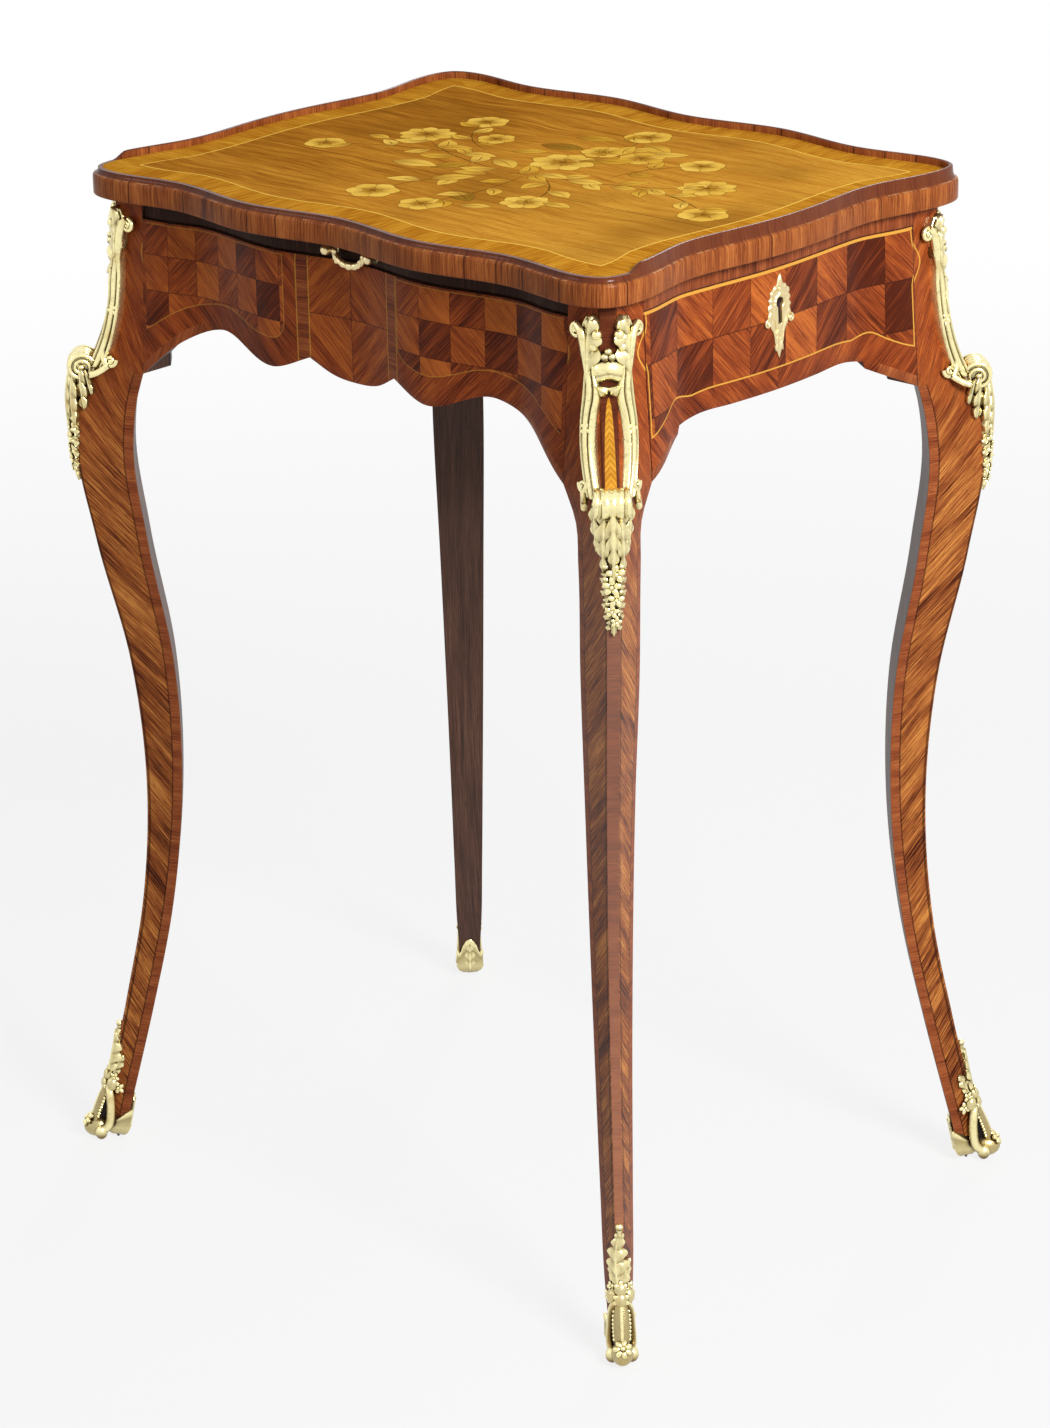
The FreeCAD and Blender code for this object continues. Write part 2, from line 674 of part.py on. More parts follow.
def side_apron(top):
    """Apron of the drawer side up to a height, with its shaped lower edge."""
    end = [V(JOINT_Y, 0, 0), along(SIDE_HAUNCH), along(SIDE_STEP)]
    flat = [along(SIDE_CUSP), V(SIDE_FLAT, 0, SIDE_LOW)]
    middle = flat + [V(0, 0, SIDE_LOW)] + opposite(flat)
    steps = [Part.makeLine(end[-1], flat[0]), Part.makeLine(middle[-1], opposite(end)[0])]
    curves = [(spline(end), EDGE_SPANS // 2), (steps[0], 1), (spline(middle), 2 * CENTRE_SPANS)]
    curves += [(steps[1], 1), (spline(opposite(end)), EDGE_SPANS // 2)]
    return apron(curves, JOINT_Y, LEG_X, SIDE_APRON_DEPTH, SIDE_PLAN, side_place, top)


def keyhole(x0, x1, z, slack):
    """Keyhole along X: a round with a slot below it, opened out by a slack."""
    bow = Part.makeCylinder(KEY_RADIUS + slack, x1 - x0, V(x0, 0, z), V(1, 0, 0))
    slot = box(x0, x1, -KEY_SLOT_HALF - slack, KEY_SLOT_HALF + slack, z - KEY_SLOT - slack, z)
    return bow.fuse(slot)


def escutcheon_outline(x, top):
    """Waisted cartouche outline of the keyhole plate at a given X, three arcs to a side."""
    right = [V(x, 0, top)] + [V(x, half, top - down) for half, down in PLATE_SIDE]
    right.append(V(x, 0, top - PLATE_LONG))
    points = []
    for i in (0, 2, 4):
        points += Part.Arc(*right[i:i + 3]).toShape().discretize(PLATE_SPANS + 1)[:-1]
    left = [V(x, -p.y, p.z) for p in reversed(points[1:])]
    return polygon(points + [right[-1]] + left)


def build_top():
    """Table top: core, veneered field, banding, edge lengths, corner pieces and three-sided gallery."""
    curve = top_curve(0.0)
    front_x = LEG_X - CORNER_FRONT_BACK
    front_y = LEG_Y + CORNER_FRONT_OUT
    side_x = LEG_X + CORNER_SIDE_OUT
    side_y = LEG_Y - CORNER_SIDE_BACK
    joints = [V(front_x, -front_y, 0), V(side_x, -side_y, 0), V(side_x, side_y, 0), V(front_x, front_y, 0)]
    joints += [V(-p.x, p.y, 0) for p in reversed(joints)]
    at = [snapped(curve.parameter(p)) for p in joints]
    at.append(snapped(at[0] + curve.LastParameter - curve.FirstParameter))
    names = ["corner_fr", "edge_right", "corner_br", "edge_back"]
    names += ["corner_bl", "edge_left", "corner_fl", "edge_front"]
    core = slab(top_curve((VENEER_INSET + EDGE_WIDTH) / 2.0), TOP_UNDER, CORE_TOP - TOP_UNDER)
    sheet = slab(top_curve(COVE_INSET + LIP_WIDTH / 2.0), CORE_TOP, VENEER)
    ramp = polygon([
        V(-2 * LEG_X, -side_y - RAMP_LENGTH, FIELD_TOP),
        V(-2 * LEG_X, -side_y, FIELD_TOP),
        V(-2 * LEG_X, -side_y + RAMP_LENGTH, TABLE_HEIGHT),
        V(-2 * LEG_X, -side_y - RAMP_LENGTH, TABLE_HEIGHT),
    ])
    for i, name in enumerate(names):
        gallery = name in ("edge_right", "edge_back", "edge_left", "corner_br", "corner_bl")
        splits = CORNER_SPLITS if name.startswith("corner") else EDGE_SPLITS
        piece = edge_length(curve, at[i], at[i + 1], gallery, splits)
        core = core.cut(piece)
        sheet = sheet.cut(piece)
        if name in ("edge_right", "edge_left"):
            piece = piece.cut(prism(ramp, V(4 * LEG_X, 0, 0)))
        save(name, piece)
    field = field_slab()
    save("top_core", core)
    save("top_field", field)
    save("top_banding", sheet.cut(field))


def build_slide():
    """Writing slide with clamped ends, leather inset, stops, pull posts and bail."""
    low = SLOT_FLOOR + RUN_GAP + RUN_GAP
    top = low + SLIDE_THICK
    back = FRONT_IN + RUN_GAP
    panel = box(-SLIDE_HALF, SLIDE_HALF, -back, SLIDE_BACK - SLIDE_CLAMP, low, top)
    edge_x = SLIDE_HALF - LEATHER_BORDER
    edge_y = SLIDE_BACK - SLIDE_CLAMP - LEATHER_BORDER
    panel = panel.cut(box(-edge_x, edge_x, LEATHER_BORDER - back, edge_y, top - LEATHER_THICK, top))
    fit = GLUE_GAP
    skin_low = top - LEATHER_THICK
    leather = box(fit - edge_x, edge_x - fit, LEATHER_BORDER - back + fit, edge_y - fit, skin_low, top)
    save("slide_leather", leather)
    save("slide_clamp", box(-SLIDE_HALF, SLIDE_HALF, SLIDE_BACK - SLIDE_CLAMP, SLIDE_BACK, low, top))
    for name, sign in (("slide_stop_left", -1), ("slide_stop_right", 1)):
        x0 = sign * STOP_SIDE - STOP_WIDTH / 2.0
        y0 = STOP_BACK - STOP_WIDTH / 2.0
        peg = box(x0, x0 + STOP_WIDTH, y0, y0 + STOP_WIDTH, low - STOP_DROP, low + SLIDE_THICK / 2.0)
        panel = panel.cut(peg)
        save(name, peg)
    save("slide_panel", panel)
    span = JOINT_X - SIDE_GAP
    reach = LEG_Y - SLIDE_SETBACK
    spans = 2 * EDGE_SPANS + CENTRE_SPANS
    stations = [span - 2 * span * i / spans for i in range(spans + 1)]
    edge = [front_place(a, face_out(a, TOP_UNDER, JOINT_X, reach, FRONT_PLAN), low) for a in stations]
    edge += [V(-span, -back, low), V(span, -back, low)]
    front = prism(polygon(edge), UP * SLIDE_THICK)
    save("slide_front", front)
    build_pull(front, V(0, FRONT_SWELL - FRONT_MEAN - reach, (low + top) / 2.0))


def build_pull(front, seat):
    """Pull of the slide: two turned posts on its front edge and a bail that swings between them."""
    pivot_y = seat.y - PIVOT_REACH
    collar = [(PULL_COLLAR_RADIUS, -PULL_COLLAR), (PULL_COLLAR_RADIUS, PULL_COLLAR)]
    stem = [(PULL_POST_RADIUS, 0), (PULL_POST_RADIUS, PULL_REACH), (PULL_CAP_RADIUS, PULL_REACH + PULL_CAP)]
    arm = POST_SPACING / 2.0 - PULL_POST_RADIUS - BAIL_GAP - BAIL_RADIUS
    bail = bail_loop(arm, pivot_y, seat.z)
    for name, sign in (("pull_post_left", -1), ("pull_post_right", 1)):
        x = sign * POST_SPACING / 2.0
        eye_from = V(x - PULL_COLLAR_RADIUS, pivot_y, seat.z)
        eye = Part.makeCylinder(PIVOT_RADIUS + PIVOT_FIT, 2 * PULL_COLLAR_RADIUS, eye_from, V(1, 0, 0))
        foot = V(x, seat.y, seat.z)
        knob = turned(collar, PULL_SIDES, foot, V(0, -1, 0)).fuse(turned(stem, PULL_SIDES, foot, V(0, -1, 0)))
        save(name, knob.cut(front).cut(eye))
        hinge = V(sign * arm, pivot_y, seat.z)
        boss = [(BAIL_RADIUS, -BAIL_RADIUS), (BAIL_RADIUS, BAIL_RADIUS)]
        bail = bail.fuse(turned(boss, BAIL_SIDES, hinge, V(1, 0, 0)))
        length = POST_SPACING / 2.0 + PULL_POST_RADIUS - arm
        bail = bail.fuse(Part.makeCylinder(PIVOT_RADIUS, length, hinge, V(sign, 0, 0)))
    save("pull_bail", bail)


def bail_loop(arm, y, z):
    """Bail: half an ellipse of many-sided sections that swell towards the middle."""
    drop = BAIL_DROP - BAIL_SWELL
    corners = [2 * math.pi * (i + 0.5) / BAIL_SIDES for i in range(BAIL_SIDES)]
    sections = []
    for i in range(BAIL_SPANS + 1):
        turn = math.pi * i / BAIL_SPANS
        radius = BAIL_RADIUS + (BAIL_SWELL - BAIL_RADIUS) * math.sin(turn)
        centre = V(arm * math.cos(turn), y, z - drop * math.sin(turn))
        out = V(drop * math.cos(turn), 0, -arm * math.sin(turn)).normalize()
        ring = [(radius * math.cos(t), radius * math.sin(t)) for t in corners]
        sections.append([centre + out * a + V(0, b, 0) for a, b in ring])
    return lofted(sections)


def build_carcase():
    """Fixed woodwork inside: slide ledgers, drawer runners, guides and stops."""
    ledger_top = SLOT_FLOOR + RUN_GAP
    fence_in = SLIDE_HALF + SIDE_GAP
    outer = fence_in + FENCE_WIDTH
    low = ledger_top - LEDGER_HEIGHT
    shelf = box(outer - LEDGER_WIDTH, outer, -FRONT_IN, FRONT_IN, low, ledger_top)
    fence = box(fence_in, outer, -FRONT_IN, FRONT_IN, ledger_top, TOP_UNDER - RUN_GAP)
    ledger = shelf.fuse(fence).removeSplitter()
    save("ledger_right", ledger)
    save("ledger_left", left_right(ledger))
    runner_low = POST_FOOT + RUNNER_UP
    side = BOX_HALF + SIDE_GAP
    guide = box(-JOINT_X, JOINT_X, -FRONT_IN, -side, runner_low, runner_low + GUIDE_HEIGHT)
    runner_top = runner_low + RUNNER_HEIGHT
    runner = box(-SIDE_IN, SIDE_IN - DRAWER_GAP, -side, RUNNER_WIDTH - side, runner_low, runner_top)
    save("guide_front", guide)
    save("guide_back", front_back(guide))
    save("runner_front", runner)
    save("runner_back", front_back(runner))
    box_low = runner_low + RUNNER_HEIGHT + RUN_GAP
    block_end = SIDE_IN - BOX_LENGTH - DRAWER_GAP
    half = STOP_BLOCK / 2.0
    block = box(-SIDE_IN, block_end, -half, half, box_low, box_low + STOP_BLOCK)
    block.translate(V(0, -STOP_BLOCK_SIDE, 0))
    save("drawer_stop_front", block)
    save("drawer_stop_back", front_back(block))


def build_drawer():
    """Drawer with its shaped front, box, half-mortise lock and keyhole plate."""
    front_top = RAIL_UNDER - DRAWER_GAP
    span = JOINT_Y - DRAWER_GAP
    front = side_apron(front_top).common(box(0, 2 * LEG_X, -span, span, POST_FOOT, front_top))
    key_z = front_top - KEY_DOWN
    out = 2 * LEG_X
    recess_x = SIDE_IN + LOCK_DEPTH
    recess = box(SIDE_IN, recess_x, -LOCK_HALF, LOCK_HALF, front_top - LOCK_HEIGHT, front_top)
    front = front.cut(recess).cut(keyhole(recess_x, out, key_z, 0.0))
    box_low = POST_FOOT + RUNNER_UP + RUNNER_HEIGHT + RUN_GAP
    box_top = box_low + BOX_HEIGHT
    rear = SIDE_IN - BOX_LENGTH
    groove = box_low + BOX_GROOVE
    inside = BOX_HALF - BOX_SIDE
    side = box(rear, SIDE_IN, -BOX_HALF, -inside, box_low, box_top)
    tongue = inside + BOX_TONGUE
    bottom = box(rear + BOX_BACK, SIDE_IN, -tongue, tongue, groove, groove + BOX_BOTTOM)
    side = side.cut(bottom)
    save("drawer_front", front)
    save("drawer_side_front", side)
    save("drawer_side_back", front_back(side))
    save("drawer_bottom", bottom)
    save("drawer_back", box(rear, rear + BOX_BACK, -inside, inside, box_low, box_top))
    plate = box(SIDE_IN, SIDE_IN + LOCK_PLATE, -LOCK_HALF, LOCK_HALF, front_top - LOCK_HEIGHT, front_top)
    lid = box(SIDE_IN, recess_x, -LOCK_HALF, LOCK_HALF, front_top - LOCK_PLATE, front_top)
    bolt_x = (SIDE_IN + LOCK_PLATE + recess_x) / 2.0
    bolt_top = front_top - RUN_GAP
    bolt_half = BOLT_THICK / 2.0
    bolt_low = bolt_top - BOLT_LENGTH
    bolt = box(bolt_x - bolt_half, bolt_x + bolt_half, -BOLT_HALF, BOLT_HALF, bolt_low, bolt_top)
    slot_x = bolt_half + RUN_GAP
    slot_y = BOLT_HALF + RUN_GAP
    slot = box(bolt_x - slot_x, bolt_x + slot_x, -slot_y, slot_y, front_top - LOCK_PLATE, front_top)
    case = plate.fuse(lid.cut(slot))
    for sign in (-1, 1):
        near, far = sign * slot_y, sign * (slot_y + BOLT_CHEEK)
        case = case.fuse(box(SIDE_IN, recess_x, near, far, front_top - LOCK_HEIGHT, front_top))
    save("lock_case", case.removeSplitter())
    save("lock_bolt", bolt)
    pin_foot = V(SIDE_IN + LOCK_PLATE, 0, key_z)
    save("lock_pin", Part.makeCylinder(PIN_RADIUS, PIN_LENGTH, pin_foot, V(1, 0, 0)))
    middle = LEG_X + SIDE_MEAN + SIDE_SWELL
    outline = escutcheon_outline(middle - PLATE_THICK, front_top - PLATE_TOP)
    shield = prism(outline, V(2 * PLATE_THICK, 0, 0))
    shield = shield.cut(keyhole(recess_x, out, key_z, RUN_GAP)).cut(front)
    save("escutcheon", shield)
    rail = side_apron(TOP_UNDER).common(box(0, out, -JOINT_Y, JOINT_Y, RAIL_UNDER, TOP_UNDER))
    half_x = bolt_half + MORTISE_GAP
    half_y = BOLT_HALF + MORTISE_GAP
    deep = RAIL_UNDER + BOLT_THROW + MORTISE_GAP
    mortise = box(bolt_x - half_x, bolt_x + half_x, -half_y, half_y, RAIL_UNDER, deep)
    save("rail_right", rail.cut(mortise))


leg = build_leg()
chute = build_chute(leg)
sabot = build_sabot(leg)
for kind, shape in (("leg", leg), ("chute", chute), ("sabot", sabot)):
    save(kind + "_fr", shape)
    save(kind + "_fl", left_right(shape))
    save(kind + "_br", front_back(shape))
    save(kind + "_bl", left_right(front_back(shape)))

save("apron_front", front_apron(SLOT_FLOOR))
save("apron_back", front_back(front_apron(TOP_UNDER)))
save("apron_left", left_right(side_apron(TOP_UNDER)))
build_top()
build_slide()
build_carcase()
build_drawer()
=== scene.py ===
"""Looks of a small serpentine writing table: marquetry top, parquetry sides, gilt mounts, slide and drawer.

Sizes are millimetres until a mesh is made. The floor is Z = 0, the front faces -Y, the drawer side faces +X.
"""
import logging
import math
from dataclasses import dataclass, field
from enum import Enum
from typing import Callable, Sequence, Union

import bmesh
import bpy
import numpy as np
from mathutils import Matrix, Vector


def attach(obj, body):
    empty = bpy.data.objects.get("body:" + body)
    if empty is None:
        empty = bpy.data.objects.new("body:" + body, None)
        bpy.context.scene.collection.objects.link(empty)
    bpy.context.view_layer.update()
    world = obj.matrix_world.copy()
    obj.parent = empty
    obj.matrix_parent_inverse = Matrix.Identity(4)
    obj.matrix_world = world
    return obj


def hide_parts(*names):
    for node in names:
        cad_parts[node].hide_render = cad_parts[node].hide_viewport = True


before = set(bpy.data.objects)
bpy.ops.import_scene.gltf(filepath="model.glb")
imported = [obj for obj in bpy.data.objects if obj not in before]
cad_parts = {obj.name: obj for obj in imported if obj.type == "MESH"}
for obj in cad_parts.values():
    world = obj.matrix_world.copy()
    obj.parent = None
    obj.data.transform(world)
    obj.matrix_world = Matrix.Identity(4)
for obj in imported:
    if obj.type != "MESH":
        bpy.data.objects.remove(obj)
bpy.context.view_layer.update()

Array = np.ndarray
Spot = tuple[float, float]
Three = tuple[float, float, float]
Four = tuple[float, float, float, float]
Colour = Three
Finish = bpy.types.Material
Piece = bpy.types.Object
Place = Callable[[Array, Array, Array], Array]
Knots = tuple[Spot, ...]

log = logging.getLogger("writing_table")
MM = 0.001
ROOT2 = math.sqrt(2.0)
UP = np.array([0.0, 0.0, 1.0])
HANDS = (-1, 1)


class Side(Enum):
    """Signs along X and Y that carry the front right, drawer-side form to another place."""

    FRONT_RIGHT = (1, 1)
    FRONT_LEFT = (-1, 1)
    BACK_RIGHT = (1, -1)
    BACK_LEFT = (-1, -1)

    @property
    def tag(self) -> str:
        """Short name of the corner as the frame's nodes end."""
        return {(1, 1): "fr", (-1, 1): "fl", (1, -1): "br", (-1, -1): "bl"}[self.value]


class Body(Enum):
    """Bodies that pieces ride on."""

    FRAME = "frame"
    SLIDE = "writing_slide"
    BAIL = "bail"
    DRAWER = "drawer"
    BOLT = "lock_bolt"


class Grain(Enum):
    """Axis that a wood's grain runs along."""

    X = 0
    Y = 1
    Z = 2


# ---- curves


def through(at: Array, knots: Sequence[Spot]) -> Array:
    """Smooth curve through points: cubic pieces whose slopes are the gradients of the points.

    Args:
        at: where to read the curve.
        knots: (position, value) pairs in rising order.

    Returns:
        The values, in the shape of at.
    """
    x, y = np.array(knots, float).T
    slope = np.gradient(y, x)
    i = np.clip(np.searchsorted(x, at) - 1, 0, len(x) - 2)
    h = x[i + 1] - x[i]
    t = np.clip((np.asarray(at, float) - x[i]) / h, 0.0, 1.0)
    near = (1 + 2 * t) * (1 - t) ** 2 * y[i] + t * (1 - t) ** 2 * h * slope[i]
    return near + t * t * (3 - 2 * t) * y[i + 1] + t * t * (t - 1) * h * slope[i + 1]


def ease(t: Array) -> Array:
    """Smooth step from 0 to 1: 3 t^2 - 2 t^3, held outside."""
    t = np.clip(t, 0.0, 1.0)
    return t * t * (3.0 - 2.0 * t)


def heading(angle: float) -> Array:
    """Unit vector in plan at an angle."""
    return np.array([np.cos(angle), np.sin(angle)])


def alike(*values: Array) -> list[Array]:
    """Values as float arrays of one shape."""
    return np.broadcast_arrays(*(np.asarray(value, float) for value in values))


def closed_spline(points: Array) -> tuple[Array, Callable[[Array], Array]]:
    """Closed cubic spline by chord length: second derivatives solved all round, cubic pieces between points.

    Args:
        points: (n, 2) corners in order round the loop.

    Returns:
        The parameter of each point with the whole length last, and the curve as a function of the parameter.
    """
    step = np.linalg.norm(np.roll(points, -1, 0) - points, axis=1)
    at = np.concatenate([[0.0], np.cumsum(step)])
    n = len(points)
    before = np.roll(step, 1)
    system = np.diag(2 * (before + step)) + np.roll(np.diag(before), -1, 1) + np.roll(np.diag(step), 1, 1)
    rise = (np.roll(points, -1, 0) - points) / step[:, None]
    bend = np.linalg.solve(system, 6 * (rise - np.roll(rise, 1, 0)))

    def curve(s: Array) -> Array:
        """Points of the loop at parameters s."""
        s = np.mod(s, at[-1])
        i = np.clip(np.searchsorted(at, s, side="right") - 1, 0, n - 1)
        k = (i + 1) % n
        h, b = step[i][:, None], (s - at[i])[:, None]
        a = h - b
        whole = (bend[i] * a ** 3 + bend[k] * b ** 3) / (6 * h)
        return whole + (points[i] / h - bend[i] * h / 6) * a + (points[k] / h - bend[k] * h / 6) * b

    return at, curve


# ---- meshes


class Shape:
    """Closed shells gathered into one mesh: points in millimetres, faces, two UV pairs and a finish to each face."""

    def __init__(self) -> None:
        """Starts empty."""
        self.points: list[Array] = []
        self.faces: list[list[int]] = []
        self.uvs: list[Array] = []
        self.finishes: list[Array] = []
        self.count = 0

    def shell(self, grid: Array, uv: Union[Array, None] = None, finish: Union[int, Array] = 0,
              capped: bool = True) -> "Shape":
        """Adds one closed surface: rings of points joined in order, each end ring capped unless it is a point.

        Args:
            grid: (rings, points, 3) array; each ring closes on itself.
            uv: (rings, points + 1, 4) array of two UV pairs, or None for ones.
            finish: finish number, or one for each step round the ring, of which the caps take the last.
            capped: False where the last ring is the first one again.

        Returns:
            This shape.
        """
        rows, cols = grid.shape[:2]
        uv = np.ones((rows, cols + 1, 4)) if uv is None else uv
        i, j = np.meshgrid(np.arange(rows - 1), np.arange(cols), indexing="ij")
        k = (j + 1) % cols
        quads = np.stack([i * cols + j, i * cols + k, (i + 1) * cols + k, (i + 1) * cols + j], -1).reshape(-1, 4)
        corner = np.stack([uv[i, j], uv[i, j + 1], uv[i + 1, j + 1], uv[i + 1, j]], 2).reshape(-1, 4, 4)
        flat = grid.reshape(-1, 3)
        number = np.broadcast_to(finish, (rows - 1, cols)).reshape(-1)
        ends = [(np.arange(cols)[::-1], uv[0, :cols][::-1]), ((rows - 1) * cols + np.arange(cols), uv[-1, :cols])]
        ends = [(ring, pair) for ring, pair in ends if capped and np.ptp(flat[ring], axis=0).max() > 1e-6]
        middle = flat.mean(0)
        a, b, c, d = (flat[quads] - middle).transpose(1, 0, 2)
        volume = (a * (np.cross(b, c) + np.cross(c, d))).sum()
        for ring, _ in ends:
            rim = flat[ring] - middle
            volume += (rim.mean(0) * np.cross(rim, np.roll(rim, -1, 0))).sum()
        turn = slice(None, None, 1 if volume > 0 else -1)
        self.faces += (quads[:, turn] + self.count).tolist()
        self.uvs.append(corner[:, turn].reshape(-1, 4))
        self.finishes.append(number)
        for ring, pair in ends:
            self.faces.append((ring[turn] + self.count).tolist())
            self.uvs.append(pair[turn])
            self.finishes.append(number[-1:])
        self.points.append(flat)
        self.count += len(flat)
        return self

    def make(self, name: str, finishes: Sequence[Finish], side: Side = Side.FRONT_RIGHT,
             sharp: float = 40.0) -> Piece:
        """Puts the shells into a mesh object, merges doubles and smooths it up to an angle.

        Args:
            name: object name.
            finishes: materials by finish number.
            side: corner or side that the form is mirrored to.
            sharp: angle in degrees over which edges stay crisp.

        Returns:
            The new object.
        """
        mesh = bpy.data.meshes.new(name)
        mesh.from_pydata(np.concatenate(self.points) * MM, [], self.faces)
        pairs = np.concatenate(self.uvs)
        for label, columns in (("face", pairs[:, :2]), ("edge", pairs[:, 2:])):
            mesh.uv_layers.new(name=label).data.foreach_set("uv", np.ascontiguousarray(columns).ravel())
        mesh.polygons.foreach_set("material_index", np.concatenate(self.finishes).astype(np.int32))
        for finish in finishes:
            mesh.materials.append(finish)
        work = bmesh.new()
        work.from_mesh(mesh)
        bmesh.ops.remove_doubles(work, verts=work.verts, dist=1e-7)
        bmesh.ops.dissolve_degenerate(work, edges=work.edges, dist=1e-8)
        work.to_mesh(mesh)
        work.free()
        sx, sy = side.value
        mesh.transform(Matrix.Diagonal((sx, sy, 1, 1)))
        if sx * sy < 0:
            mesh.flip_normals()
        mesh.shade_smooth()
        mesh.set_sharp_from_angle(angle=math.radians(sharp))
        piece = bpy.data.objects.new(name, mesh)
        bpy.context.scene.collection.objects.link(piece)
        return piece


def pillow(top: Array, bottom: Array) -> Array:
    """Rings that run over a top surface and back under a bottom one."""
    return np.concatenate([top, bottom[:, ::-1]], axis=1)


def toned(rings: int, sides: int, tone: Union[Array, float], top: int = 0) -> Array:
    """UV pairs for a shell: ones, with a tone as the first value over the first points of a ring or all of them."""
    uv = np.ones((rings, sides + 1, 4))
    uv[:, :top or None, 0] = tone
    return uv


def tube(path: Array, wide: Array, thick: Array, up: Array, sides: int = 10) -> Array:
    """Oval section carried along a path: path + wide cos(t) up + thick sin(t) (tangent x up).

    Args:
        path: (n, 3) points.
        wide: half width towards up, one for each point or a number.
        thick: half thickness square to that.
        up: direction across the path, one vector or one for each point.
        sides: points in a ring.

    Returns:
        (n, sides, 3) rings.
    """
    along = np.gradient(path, axis=0)
    along /= np.linalg.norm(along, axis=1, keepdims=True)
    up = np.broadcast_to(np.asarray(up, float), path.shape)
    up = up - (up * along).sum(1, keepdims=True) * along
    up = up / np.linalg.norm(up, axis=1, keepdims=True)
    out = np.cross(along, up)
    t = np.linspace(0, 2 * np.pi, sides, endpoint=False)[None, :, None]
    wide, thick = (np.broadcast_to(half, len(path))[:, None, None] for half in (wide, thick))
    return path[:, None] + wide * np.cos(t) * up[:, None] + thick * np.sin(t) * out[:, None]


def boss(centre: Array, axes: Array, rings: int = 7, sides: int = 10) -> Array:
    """Egg on three half axes: centre + sin(a) (cos(b) first + sin(b) second) + cos(a) third."""
    a = np.linspace(0, np.pi, rings)[:, None, None]
    b = np.linspace(0, 2 * np.pi, sides, endpoint=False)[None, :, None]
    first, second, third = np.asarray(axes, float)
    return np.asarray(centre) + np.sin(a) * (np.cos(b) * first + np.sin(b) * second) + np.cos(a) * third


def dome(rings: int = 7, sides: int = 10) -> Array:
    """UV pairs for an egg: bright at the pole it faces with, dull at its foot."""
    return toned(rings, sides, np.clip(0.45 + 0.75 * np.cos(np.linspace(0, np.pi, rings)), 0, 1)[:, None])


def pearl(shape: Shape, centre: Array, size: Array, tone: Union[float, None] = None, rings: int = 7,
          sides: int = 10) -> None:
    """Adds an egg with upright axes, or a ball, in one tone or a dome's."""
    uv = dome(rings, sides) if tone is None else toned(rings, sides, tone)
    shape.shell(boss(centre, np.eye(3) * size, rings, sides), uv)


def cord(shape: Shape, place: Place, a: Array, z: Array, lift: Array, thick: Array, sides: int = 8) -> None:
    """Adds a round moulding along a line on a surface, bright on its crest and dull at its foot."""
    path = place(a, z, lift)
    tone = np.clip(0.5 + 0.6 * np.cos(np.linspace(0, 2 * np.pi, sides + 1)), 0, 1)
    shape.shell(tube(path, thick, thick, place(a, z, lift + 1.0) - path, sides), toned(len(path), sides, tone))


def turned(profile: Array, centre: Array, axis: Array, sides: int = 24) -> Array:
    """Turned form: (radius, distance) rows carried round an axis."""
    axis = np.asarray(axis, float) / np.linalg.norm(axis)
    first = np.cross(axis, (0.3, 0.5, 0.81))
    first /= np.linalg.norm(first)
    second = np.cross(axis, first)
    t = np.linspace(0, 2 * np.pi, sides, endpoint=False)[None, :, None]
    radius, run = np.asarray(profile, float).T[:, :, None, None]
    return np.asarray(centre) + radius * (np.cos(t) * first + np.sin(t) * second) + run * axis


def block(low: Array, high: Array) -> Array:
    """Box between two corners as two rings of four."""
    (x0, y0, z0), (x1, y1, z1) = low, high
    ring = [(x0, y0), (x1, y0), (x1, y1), (x0, y1)]
    return np.array([[(x, y, z) for x, y in ring] for z in (z0, z1)], float)


def cut(piece: Piece, boxes: Sequence[Array], finish: int = 0) -> None:
    """Cuts closed hollows out of a piece and keeps the result as its mesh."""
    for box in boxes:
        cutter = Shape().shell(box, None, finish).make("hollow", [])
        modifier = piece.modifiers.new("hollow", "BOOLEAN")
        modifier.object = cutter
        modifier.solver = "EXACT"
        graph = bpy.context.evaluated_depsgraph_get()
        seen = piece.evaluated_get(graph)
        mesh = bpy.data.meshes.new_from_object(seen, preserve_all_data_layers=True, depsgraph=graph)
        piece.modifiers.clear()
        piece.data = mesh
        bpy.data.objects.remove(cutter)


